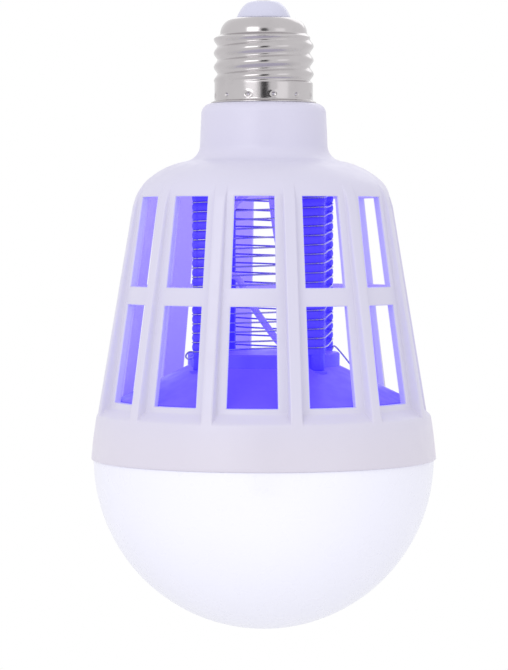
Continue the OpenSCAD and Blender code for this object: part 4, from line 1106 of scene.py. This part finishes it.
    def _band_corners(self) -> list:
        """Corners of the band's outline below the sill."""
        lv = self.levels
        middle = ((lv.band_top_r + lv.band_bottom_r) / 2 + 0.12, (lv.band_top + lv.band_bottom) / 2)
        return [(lv.band_top_r, lv.band_top), middle, (lv.band_bottom_r, lv.band_bottom)]

    def _panel_radius(self, z: Array) -> Array:
        """Radius of the recessed panels, the sill and the band at each height."""
        lv = self.levels
        start = lv.panel_curve[:-1]
        sill = (radius_at(lv.panel_curve, lv.sill_top), lv.sill_top)
        corners = [tuple(start[-1]), sill, *self._band_corners()]
        outline = rounded(corners, [0, 0.5, 0.6, 5, 0], 6)
        return radius_at(np.concatenate([start[:-1], outline]), z)

    def _rib_radius(self, z: Array) -> Array:
        """Radius over the ribs at each height, and of the band below them."""
        start = self.levels.rib_curve[:-1]
        outline = rounded([tuple(start[-1]), *self._band_corners()], [0, 3, 5, 0], 6)
        return radius_at(np.concatenate([start[:-1], outline]), z)

    def inner_rows(self) -> Array:
        """Rows of the inner skin, from the spigot down to the bore that takes the dome."""
        lv = self.levels
        bore_r = lv.neck_r - lv.wall
        spigot_r = lv.skirt_r - lv.shell_wall - 0.05 - self.spigot_wall
        offset, step_z = lv.neck_fillet_r + lv.wall, lv.collar - lv.wall
        upper = np.concatenate([
            [(spigot_r, lv.collar + self.spigot_h), (spigot_r, step_z), (bore_r, step_z)],
            arc(lv.fillet_centre, -offset, 90, lv.fillet_slope, 10),
            arc(lv.inner_centre, lv.shoulder_inner_r - lv.wall, lv.fillet_slope + 2, lv.mid_slope, 8),
        ])
        windows = self.window_rows()
        z = np.concatenate([np.linspace(upper[-1, 1] - 0.3, windows[0] + 0.2, 6), windows])
        wall = np.stack([radius_at(lv.inner_curve, z), z], axis=1)
        end_r, low = lv.collar_bore_r, lv.band_bottom
        step_r = end_r - self.step_w
        foot = [(radius_at(lv.inner_curve, lv.deck_step), lv.deck_step), (step_r, lv.deck_step),
                (step_r, lv.plate), (end_r, lv.plate), (end_r, low + 0.15), (end_r + 0.15, low)]
        return np.concatenate([upper, wall, foot])

    def pierced(self, rows: Array, columns: int) -> tuple[Array, list[Array]]:
        """Numbers a skin's quads, leaving out those of the windows.

        Args:
            rows: the skin's (radius, height) rows.
            columns: how many columns the skin has all round.

        Returns:
            The quads, and for each of the two rows of windows the point numbers round every window.
        """
        lv = self.levels
        quads = grid_quads(len(rows), columns, False, True)
        keep = np.ones(quads.shape[:2], bool)
        sector, reach = columns // self.count, len(self.ACROSS)
        left = np.arange(self.count) * sector + sector // 2 - reach
        width = 2 * reach
        rings = []
        for upper, lower in ((lv.window_top, lv.bar_top), (lv.bar_bottom, lv.window_bottom)):
            high, low = (int(np.argmin(abs(rows[:, 1] - z))) for z in (upper, lower))
            keep[high:low, (left[:, None] + np.arange(width)).ravel()] = False
            across, down = np.arange(width), np.arange(low - high)
            ring = np.concatenate([
                high * columns + across, (high + down) * columns + width,
                low * columns + width - across, (low - down) * columns,
            ])
            rings.append(ring[None, :] + left[:, None])
        return quads[keep], rings

    def housing(self) -> Surface:
        """The whole moulding: an outer and an inner skin, joined at their ends and round each window."""
        base, top = self.outer_rows()
        inner = self.inner_rows()
        outer_points = self.skin(base, top, self.edge_round, 1)
        inner_points = self.skin(inner, inner, self.inner_round, -1)
        total = outer_points.shape[1]
        start = outer_points.shape[0] * total
        outer_quads, outer_rings = self.pierced(base, total)
        inner_quads, inner_rings = self.pierced(inner, total)
        parts = [outer_quads, inner_quads[:, ::-1] + start]
        for a, b in zip(outer_rings, inner_rings):
            jamb = np.stack([a, b + start, np.roll(b, -1, axis=1) + start, np.roll(a, -1, axis=1)], axis=-1)
            parts.append(jamb.reshape(-1, 4))
        columns = np.arange(total)
        after = (columns + 1) % total
        out_end, in_end = start - total, start + (len(inner) - 1) * total
        parts.append(np.stack([out_end + columns, out_end + after, in_end + after, in_end + columns], 1))
        parts.append(np.stack([after, columns, start + columns, start + after], 1))
        points = np.concatenate([outer_points.reshape(-1, 3), inner_points.reshape(-1, 3)])
        return Surface(points, np.concatenate(parts))

    def build(self, shop: Workshop) -> None:
        """Makes the housing."""
        shop.piece("housing_shell", self.housing(), "housing_plastic", "cage_housing")


@dataclass(frozen=True)
class Dome:
    """The opal dome with the collar that snaps into the band."""

    levels: Levels
    step: float = 0.65
    wall: float = 1.6
    collar_h: float = 7.0
    ledge: float = 1.8

    def surface(self) -> Surface:
        """Half a ball outside and inside, z = centre - R cos a, joined by a ledge and a collar."""
        lv = self.levels
        radius = lv.band_bottom_r - self.step
        low = lv.band_bottom
        high, centre = low + self.collar_h, np.array([0.0, low])
        collar_r = lv.collar_bore_r - 0.1
        inner_r = radius - self.wall
        start = 90 + math.degrees(math.asin(self.ledge / inner_r))
        outer = arc(centre, radius, 180, 90.4, 110)
        rim = [(radius - 0.05, low - 0.08), (radius - 0.3, low)]
        inside_r = collar_r - self.wall
        collar = [(collar_r + 0.1, low), (collar_r, low + 0.1), (collar_r, high - 0.3),
                  (collar_r - 0.3, high), (inside_r, high), (inside_r, low - self.ledge)]
        inner = arc(centre, inner_r, start, 180, 70)
        outer[0, 0] = inner[-1, 0] = 0
        return revolve(np.concatenate([outer, rim, collar, inner]), 256)

    def build(self, shop: Workshop) -> None:
        """Makes the dome."""
        shop.piece("dome_skin", self.surface(), "dome_opal", "opal_dome")


@dataclass(frozen=True)
class Winding:
    """The frame with its lobed posts, and the two grid wires wound over them."""

    levels: Levels
    column_x: float = 15.0
    column_y: float = 13.4
    turn: float = -6.0
    column_r: float = 2.2
    lobe_depth: float = 0.72
    valley_r: float = 1.75
    foot_r: float = 2.0
    web_t: float = 1.6
    flange: float = 6.0
    plate_r: float = 23.6
    plate_t: float = 1.8
    plate_hole_r: float = 5.2
    wire_r: float = 0.22
    wire_gap: float = 2.40
    wire_turns: int = 8
    seat_gap: float = 0.03
    slack: float = 0.16

    @property
    def path_r(self) -> float:
        """Radius of a wire's middle line round a column."""
        return self.valley_r + self.wire_r + 0.06

    @property
    def arc_length(self) -> float:
        """Length of wire round one column."""
        return self.path_r * math.pi / 2

    @property
    def lap(self) -> float:
        """Length of one lap."""
        return 4 * (self.column_x + self.column_y + self.arc_length)

    @property
    def start_z(self) -> float:
        """Height at which the wires start."""
        return self.levels.pedestal_top + 0.5

    @property
    def foot_z(self) -> float:
        """Height of the posts' feet in the deck."""
        return self.levels.deck_at(math.hypot(self.column_x, self.column_y)) - 0.6

    def corner_share(self, corner: Array) -> Array:
        """Share of a lap at the middle of each corner, counterclockwise from the front left."""
        sides = np.array([0, 2 * self.column_x, 2 * (self.column_x + self.column_y),
                          4 * self.column_x + 2 * self.column_y])
        return (sides[corner] + self.arc_length * (np.asarray(corner) + 0.5)) / self.lap

    def post_outline(self) -> tuple[Array, Array, Array]:
        """Plan outline of the right-hand post, a channel with a round column at each outer corner.

        Returns:
            The outline's points, the outward directions, and for each point the share of a lap at which
            the wires pass, with -1 where no wire lies.
        """
        cx, cy, cr, t = self.column_x, self.column_y, self.column_r, self.web_t / 2
        front_x = np.linspace(cx - self.flange, cx, 9)[:-1]
        lean = math.degrees(math.acos(t / cr))
        turn = np.radians(np.linspace(-90, lean, 22))
        share_1, share_2 = self.corner_share(1), self.corner_share(2)
        bar = np.stack([front_x, np.full_like(front_x, -cy - cr)], 1)
        column = np.stack([cx + cr * np.cos(turn), -cy + cr * np.sin(turn)], 1)
        out_column = np.stack([np.cos(turn), np.sin(turn)], 1)
        bar_share = share_1 - (self.arc_length / 2 + cx - front_x) / self.lap
        column_share = share_1 + np.clip(np.degrees(turn) + 45, -45, 45) / 90 * self.arc_length / self.lap
        half = np.concatenate([bar, column])
        out = np.concatenate([np.tile([0.0, -1.0], (len(bar), 1)), out_column])
        share = np.concatenate([bar_share, column_share])
        back = half[::-1] * [1, -1]
        back_share = share_1 + share_2 - share[::-1]
        y = cy - t
        end_x = cx - self.flange
        inner = np.array([(end_x, y + 0.4), (end_x + 0.3, y), (cx - t - 0.4, y), (cx - t, y - 0.4),
                          (cx - t, 0.4 - y), (cx - t - 0.4, -y), (end_x + 0.3, -y), (end_x, -y - 0.4)])
        outline = np.concatenate([half, back, inner])
        outward = np.concatenate([out, out[::-1] * [1, -1], np.zeros_like(inner)])
        return outline, outward, np.concatenate([share, back_share, np.full(len(inner), -1.0)])

    def post(self) -> Surface:
        """The right-hand post: its outline carried upwards, with a lobe between each two wires.

        The outline draws in by depth * (1 - sqrt(1 - c^2)), where c runs from 0 at a lobe's middle to 1 in
        a valley, and the valleys climb with the wires.
        """
        lv = self.levels
        outline, outward, share = self.post_outline()
        low, high = lv.pedestal_top + self.seat_gap, lv.top_plate - 0.2
        z = np.linspace(low, high, 300)
        climb = self.start_z + 2 * self.wire_gap * np.maximum(share, 0)
        cycle = (z[:, None] - climb[None, :]) / self.wire_gap % 1
        bend = np.clip(abs(2 * cycle - 1) * 0.985, 0, 1)
        draw = self.lobe_depth * (1 - np.sqrt(1 - bend**2)) * (share >= 0)[None, :]
        ends = smooth_step((z - low) / 0.5) * smooth_step((high - z) / 4.0)
        plan = outline[None] - outward[None] * (draw * ends[:, None])[..., None]
        points = np.concatenate([plan, np.broadcast_to(z[:, None, None], (*plan.shape[:2], 1))], axis=2)
        count = len(outline)
        last = (len(z) - 1) * count
        caps = [list(range(count))[::-1], list(range(last, last + count))]
        quads = grid_quads(len(z), count, False, True).reshape(-1, 4)
        return Surface(points.reshape(-1, 3), quads, caps)

    def foot(self, x: float, y: float) -> Surface:
        """One foot: a short column from the post down into the deck, with a small chamfer."""
        low, high, r = self.foot_z, self.levels.pedestal_top + 0.6, self.foot_r
        profile = np.array([(0, low), (r - 0.3, low), (r, low + 0.3), (r, high), (0, high)])
        return revolve(profile, 48).moved(x, y, 0)

    def top_plate(self) -> Surface:
        """The round plate over the posts, with the leads' hole."""
        high, low = self.levels.top_plate, self.levels.top_plate - self.plate_t
        r, hole, middle = self.plate_r, self.plate_hole_r, (low + high) / 2
        ring = [(hole, middle), (hole, low), (r, low), (r, high), (hole, high), (hole, middle)]
        return revolve(rounded(ring, [0, 0.3, 0.4, 0.4, 0.3, 0], 4)[:-1], 128, closed=True)

    def wire_laps(self, seed: int) -> Array:
        """A wire's laps and half a lap more: arcs round the columns joined by runs that wander a little.

        Args:
            seed: the number that settles how each run wanders.

        Returns:
            The wire's middle line.
        """
        turns, corners, steps = self.wire_turns, 4, 8
        lap, corner = np.divmod(np.arange(turns * corners + corners // 2 + 1), corners)
        centre = np.array([(-1, -1), (1, -1), (1, 1), (-1, 1)])[corner] * [self.column_x, self.column_y]
        bend = np.linspace(0, 1, steps + 1)[None, :]
        a = np.radians(180 + 90 * corner[:, None] + 90 * bend)
        share = self.corner_share(corner)[:, None] + (bend - 0.5) * self.arc_length / self.lap
        z = self.start_z + 2 * self.wire_gap * (lap[:, None] + share)
        x, y = centre[:, :1] + self.path_r * np.cos(a), centre[:, 1:] + self.path_r * np.sin(a)
        arcs = np.stack([x, y, z], -1)
        t = np.linspace(0, 1, 9)[1:-1][None, :, None]
        runs = arcs[:-1, -1:] * (1 - t) + arcs[1:, :1] * t
        wander = np.random.default_rng(seed).normal(0, self.slack, (len(runs), 1))
        runs[..., 2] += wander * np.sin(math.pi * t[..., 0])
        return np.concatenate([np.concatenate([arcs[:-1], runs], axis=1).reshape(-1, 3), arcs[-1]])

    def wire(self, tail: list, seed: int) -> Surface:
        """A whole grid wire, from its loose lower end up through the top plate."""
        laps = self.wire_laps(seed)
        hole_x, y = self.column_x - self.flange - 2.2, self.column_y + self.path_r
        leave = laps[-1, 2]
        rise = [(hole_x + 1.2, y, leave + 0.25), (hole_x + 0.3, y, leave + 0.7),
                (hole_x, y, leave + 1.6), (hole_x, y, self.levels.top_plate + 0.4)]
        ends = smooth_path([*tail, laps[0]], 6)[:-1]
        path = np.concatenate([ends, laps, smooth_path([laps[-1], *rise], 5)[1:]])
        return sweep(path, self.wire_r, 10, (0.3, -0.3, 1.0))

    def build(self, shop: Workshop) -> None:
        """Makes the posts, the top plate and the wires."""
        x, y, f = self.column_x, self.column_y, self.foot_z
        right = self.post()
        feet = joined([self.foot(x, -y), self.foot(x, y)])
        for name, turn in (("right_post", 0.0), ("left_post", 180.0)):
            post = joined([right, feet]).turned(self.turn + turn)
            shop.piece(name, post, "violet_plastic", "winding_frame", smoothing=Smoothing.SOFT)
        shop.piece("frame_top_plate", self.top_plate(), "violet_plastic", "winding_frame")
        hook = [(-x - 1.4, -y - 2.7, f + 3.4), (-x - 2.9, -y - 2.3, f + 3.0),
                (-x - 3.7, -y - 1.3, f + 3.6), (-x - 3.1, -y - 0.6, f + 4.6)]
        far_r = math.hypot(x + 9.5, y + 1.5)
        laid = [(-x - 9.5, -y - 1.5, self.levels.deck_at(far_r) + self.wire_r + 0.06),
                (-x - 3.2, -y - 0.9, f + 4.7)]
        shop.piece("hooked_wire", self.wire(hook, 3).turned(self.turn), "grid_steel", "grid_wire_a",
                   smoothing=Smoothing.SOFT)
        shop.piece("laid_wire", self.wire(laid, 8).turned(self.turn + 180), "grid_steel", "grid_wire_b",
                   smoothing=Smoothing.SOFT)
        shop.dress("top_plate_screws", "screw_steel")
        shop.dress("frame_screws", "screw_steel")


@dataclass(frozen=True)
class Leads:
    """The insulated leads, each a smooth tube through its listed points."""

    levels: Levels
    lamp_r: float = 0.9
    board_face: float = 0.8
    terminal_x: float = 1.5
    terminal_y: float = -4.7
    terminal_drop: float = 3.1

    def lamp_paths(self) -> dict[str, list]:
        """Routes of the two lamp leads, from the driver board down to the lamp plate."""
        lv = self.levels
        board = lv.neck_end - 4.6
        top, under = lv.top_plate, lv.top_plate - 1.8
        y = self.board_face + self.lamp_r + 0.05
        pin_y, pin_z = self.terminal_y, lv.plate - self.terminal_drop
        ped = lv.pedestal_top
        right_end, left_end = ([(x, pin_y + 2.4, pin_z), (x, pin_y + 1.1, pin_z), (x, pin_y + 0.05, pin_z)]
                               for x in (self.terminal_x, -self.terminal_x))
        return {
            "lamp_lead_positive": [
                (3.1, -y, board + 1.5), (3.0, -y, board - 0.3), (2.6, -0.9, top + 0.2),
                (2.1, 0.6, under - 1.2),
                (2.5, 1.5, lv.window_top - 3), (3.9, 2.5, lv.window_top - 12.2), (6.6, 3.6, lv.bar_top - 2),
                (8.2, 4.0, lv.bar_bottom - 6), (8.6, 4.0, ped), (7.2, 3.4, ped - 6), (3.4, 1.6, lv.plate + 4),
                (1.8, 0.2, lv.plate - 0.6), *right_end,
            ],
            "lamp_lead_negative": [
                (-2.6, y, board + 1.5), (-2.6, y, board - 0.3), (-2.8, 2.3, top - 0.6),
                (-3.2, 2.2, under - 1.6),
                (-7.4, 2.7, lv.window_top - 1.6), (-10.2, 3.4, lv.window_top - 7),
                (-10.6, 4.0, lv.window_top - 15), (-9.4, 4.4, lv.bar_top + 3.2), (-6.9, 4.6, lv.bar_top + 2),
                (-5.1, 5.0, lv.bar_top - 1.2), (-2.7, 5.7, lv.bar_bottom - 1.1),
                (3.2, 6.6, lv.bar_bottom - 9.4), (5.7, 6.9, ped + 0.6), (6.1, 6.9, ped - 2),
                (4.6, 6.2, ped - 6.5), (-0.4, 3.4, lv.plate + 4.5), (-1.8, 0.6, lv.plate - 0.6),
                *left_end,
            ],
        }

    def build(self, shop: Workshop) -> None:
        """Makes the lamp leads and dresses the thin ones."""
        for node, path in self.lamp_paths().items():
            tube = sweep(smooth_path(path, 10), self.lamp_r, 20, (1.0, 0.0, 0.0))
            shop.piece(f"sleeved_{node}", tube, "lead_white", node, smoothing=Smoothing.SOFT)
        for node, slot in (("live_lead", "lead_red"), ("neutral_lead", "lead_black"),
                           ("grid_lead_a", "lead_red"), ("grid_lead_b", "lead_red")):
            shop.dress(node, slot)


@dataclass(frozen=True)
class InnerWorks:
    """The pieces that keep their solids: the driver, both lamp boards, the deck and the screws."""

    slots: tuple[tuple[str, str], ...] = (
        ("base_deck", "deck_plastic"),
        ("driver_board", "board_green"),
        ("input_capacitor", "can_black"),
        ("output_capacitor", "can_blue"),
        ("transformer", "ferrite"),
        ("bridge_rectifier", "component_black"),
        ("driver_chip", "component_black"),
        ("fuse_resistor", "resistor_blue"),
        ("bleed_resistor", "resistor_tan"),
        ("multiplier_capacitors", "capacitor_red"),
        ("multiplier_diodes", "component_black"),
        ("violet_lamp_board", "board_white"),
        ("violet_lamps", "violet_lens"),
        ("lamp_plate", "plate_aluminium"),
        ("white_lamps", "white_lens"),
        ("lamp_terminal", "terminal_plastic"),
        ("plate_screws", "screw_steel"),
    )

    def build(self, shop: Workshop) -> None:
        """Dresses each solid."""
        for node, slot in self.slots:
            shop.dress(node, slot)


def lay_out_finishes(shop: Workshop) -> None:
    """Builds the finish of every slot of the record."""
    core_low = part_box("transformer")[0].z + 2.2 * MM
    core_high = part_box("transformer")[1].z - 2.2 * MM
    finishes = {
        "nickel": Plated("nickel_plate", srgb(192, 188, 190), 0.17, dulling=0.3),
        "contact_metal": Plated("contact_button", srgb(214, 211, 206), 0.2, dulling=0.5),
        "cap_plastic": Moulded("cap_plastic", srgb(210, 210, 232), 0.28, mottle=0.02),
        "housing_plastic": HousingPlastic(),
        "board_green": CircuitBoard("driver_board", srgb(28, 96, 52), srgb(44, 128, 70)),
        "can_black": Banded("can_black", srgb(34, 36, 42), srgb(120, 124, 130), 40 * MM),
        "can_blue": Banded("can_blue", srgb(36, 44, 96), srgb(150, 156, 180), 40 * MM),
        "ferrite": Wound("ferrite_core", srgb(52, 52, 55), srgb(214, 176, 70), core_low, core_high),
        "component_black": Moulded("component_black", srgb(30, 30, 32), 0.5),
        "resistor_blue": Banded("resistor_blue", srgb(96, 160, 182), srgb(120, 60, 40)),
        "resistor_tan": Banded("resistor_tan", srgb(206, 180, 136), srgb(150, 40, 30)),
        "capacitor_red": Moulded("capacitor_red", srgb(160, 60, 44), 0.25),
        "lead_red": Moulded("lead_red", srgb(184, 42, 38), 0.35),
        "lead_black": Moulded("lead_black", srgb(32, 32, 34), 0.35),
        # The leads' violet tint is the violet lamps' light, painted into the white sleeving's colour.
        "lead_white": Moulded("lead_white", srgb(196, 188, 250), 0.35,
                              glow=Glow(srgb(140, 122, 255), 0.7, spill=0.6)),
        "board_white": CircuitBoard("lamp_board", srgb(214, 212, 240), srgb(200, 198, 232)),
        "violet_lens": LampLens("violet_lens", srgb(150, 110, 255), srgb(170, 120, 255), 3.0),
        "white_lens": LampLens("white_lens", srgb(250, 240, 190), srgb(255, 250, 230), 2.0),
        # The frame's violet is the violet lamps' light, painted into the colour of white plastic; its glow is
        # the same light.
        "violet_plastic": Moulded("violet_lit_frame", srgb(84, 66, 222), 0.38, glow=Glow()),
        # The deck's violet is the violet lamps' light, painted into the colour of white plastic; its glow is
        # the same light.
        "deck_plastic": Moulded("violet_lit_deck", srgb(92, 74, 245), 0.42,
                                glow=Glow(strength=1.2, reach=0.075, spill=0.26)),
        "grid_steel": Plated("grid_steel", srgb(168, 164, 182), 0.24, 3000.0, 0.002, 0.3,
                             Glow(strength=0.1, spill=0.3)),
        "screw_steel": Plated("screw_steel", srgb(190, 188, 196), 0.25, 1500.0),
        "plate_aluminium": Plated("plate_aluminium", srgb(226, 226, 228), 0.34, 1200.0, 0.006, 0.6),
        "terminal_plastic": Moulded("terminal_plastic", srgb(236, 235, 228), 0.35),
        "dome_opal": OpalDome(),
    }
    for slot, finish in finishes.items():
        shop.finish(slot, finish)


# Studio


@dataclass(frozen=True)
class Studio:
    """Soft plain light, a pale floor well below the lamp, and the camera at the photograph's angle.

    Attributes:
        px_per_mm: the photograph's scale at the lamp's axis.
        axis_px, eye_px, zero_px: the axis's column, the eye level's row and the contact's row.
        distance: from the camera to the axis, in metres.
        level: the world's strength for what it lights.
        card_x, card_y, card_half_h: where the dark card hangs.
        aim: the place that the lamps face.
    """

    frame_w: int = 508
    frame_h: int = 670
    px_per_mm: float = 3.82
    axis_px: float = 263.7
    eye_px: float = 232.0
    zero_px: float = 2.0
    distance: float = 0.73
    level: float = 0.90
    sensor: float = 36.0
    floor_z: float = -0.27
    floor_r: float = 0.42
    card_x: tuple[float, float] = (-0.14, 0.20)
    card_y: float = -1.05
    card_half_h: float = 0.5
    aim: tuple[float, float, float] = (0.0, 0.0, -0.09)

    def camera(self) -> None:
        """Makes the camera: level with the eye row, tilted down to the frame's middle."""
        focal_px = self.px_per_mm * self.distance / MM
        data = bpy.data.cameras.new("camera")
        data.sensor_width = self.sensor
        data.lens = self.sensor * focal_px / self.frame_h
        camera = placed("camera", data)
        side = (self.frame_w / 2 - self.axis_px) / self.px_per_mm * MM
        height = -(self.eye_px - self.zero_px) / self.px_per_mm * MM
        tilt = math.atan((self.frame_h / 2 - self.eye_px) / focal_px)
        camera.location = (side, -self.distance, height)
        camera.rotation_euler = (math.pi / 2 - tilt, 0, 0)
        bpy.context.scene.camera = camera

    def world(self) -> None:
        """Makes the world: white to the camera and in reflections, and a soft pale light elsewhere."""
        world = bpy.data.worlds.new("studio")
        bpy.context.scene.world = world
        world.use_nodes = True
        world.node_tree.nodes.clear()
        work = Tree(world.node_tree)
        path = work.add("LightPath")
        seen = work.math("MAXIMUM", path.outputs["Is Camera Ray"], path.outputs["Is Glossy Ray"])
        seen = work.math("MAXIMUM", seen, path.outputs["Is Transmission Ray"])
        strength = work.math("MULTIPLY_ADD", seen, 1.0 - self.level, self.level)
        sky = work.add("Background", {"Color": (1.0, 1.0, 1.0, 1.0), "Strength": strength})
        work.add("OutputWorld", {"Surface": sky.outputs[0]})

    def lamp(self, name: str, place: tuple, size: tuple, power: float) -> None:
        """Adds a soft rectangular lamp that faces the bulb's middle."""
        data = bpy.data.lights.new(name, "AREA")
        data.shape = "RECTANGLE"
        data.size, data.size_y = size
        data.energy = power
        lamp = placed(name, data)
        direction = Vector(self.aim) - Vector(place)
        lamp.location = place
        lamp.rotation_euler = direction.to_track_quat("-Z", "Y").to_euler()

    def floor(self) -> None:
        """Makes the pale floor, which fades out towards its edge."""
        ring = np.linspace(0, 1, 24)[:, None] * self.floor_r / MM
        profile = np.concatenate([ring, np.full_like(ring, self.floor_z / MM)], axis=1)
        surface = revolve(profile, 96)
        mesh = bpy.data.meshes.new("floor")
        mesh.from_pydata((surface.points * MM).tolist(), [], surface.quads[:, ::-1].tolist())
        material, work = new_material("floor")
        place = work.place()
        away = work.vector("LENGTH", work.vector("MULTIPLY", place, (1.0, 1.0, 0.0)))
        solid = work.ramp(away, self.floor_r * 0.6, self.floor_r, 1.0, 0.0)
        pale = work.add("BsdfDiffuse", {"Color": (0.93, 0.93, 0.93, 1.0)})
        clear = work.add("BsdfTransparent")
        both = work.add("MixShader", {0: solid, 1: clear.outputs[0], 2: pale.outputs[0]})
        work.add("OutputMaterial", {"Surface": both.outputs[0]})
        mesh.materials.append(material)
        placed("floor", mesh)

    def dark_card(self) -> None:
        """Hangs a dark card behind the camera that only reflections see, for the cap's dark streak."""
        (left, right), half_h, y = self.card_x, self.card_half_h, self.card_y
        mesh = bpy.data.meshes.new("dark_card")
        outline = [(left, y, -half_h), (right, y, -half_h), (right, y, half_h), (left, y, half_h)]
        mesh.from_pydata(outline, [], [(0, 1, 2, 3)])
        card = placed("dark_card", mesh)
        material, work = new_material("dark_card")
        shade = work.add("Emission", {"Color": (0.02, 0.02, 0.02, 1.0), "Strength": 1.0})
        work.add("OutputMaterial", {"Surface": shade.outputs[0]})
        mesh.materials.append(material)
        card.visible_camera = card.visible_diffuse = card.visible_shadow = card.visible_transmission = False

    def build(self) -> None:
        """Sets up the whole studio."""
        self.camera()
        self.world()
        self.floor()
        self.dark_card()
        self.lamp("key", (-0.55, -0.95, 0.35), (0.6, 0.6), 2.2)
        self.lamp("fill", (0.75, -0.75, 0.05), (0.5, 0.8), 0.4)
        self.lamp("back", (0.2, 0.9, 0.5), (0.8, 0.5), 0.8)
        bpy.context.scene.view_settings.view_transform = "Standard"


def corners(box: tuple) -> list[list[float]]:
    """Returns a box's two corners as plain lists."""
    return [[float(v) for v in corner] for corner in box]


def main() -> None:
    """Builds the lamp's pieces and the studio."""
    logging.basicConfig(level=logging.INFO, format="%(message)s")
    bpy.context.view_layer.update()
    levels = Levels()
    shop = Workshop()
    Studio().build()
    lay_out_finishes(shop)
    for part in (ScrewCap(levels), Cage(levels), Dome(levels), Winding(levels), Leads(levels), InnerWorks()):
        part.build(shop)


if __name__ == "__main__":
    main()
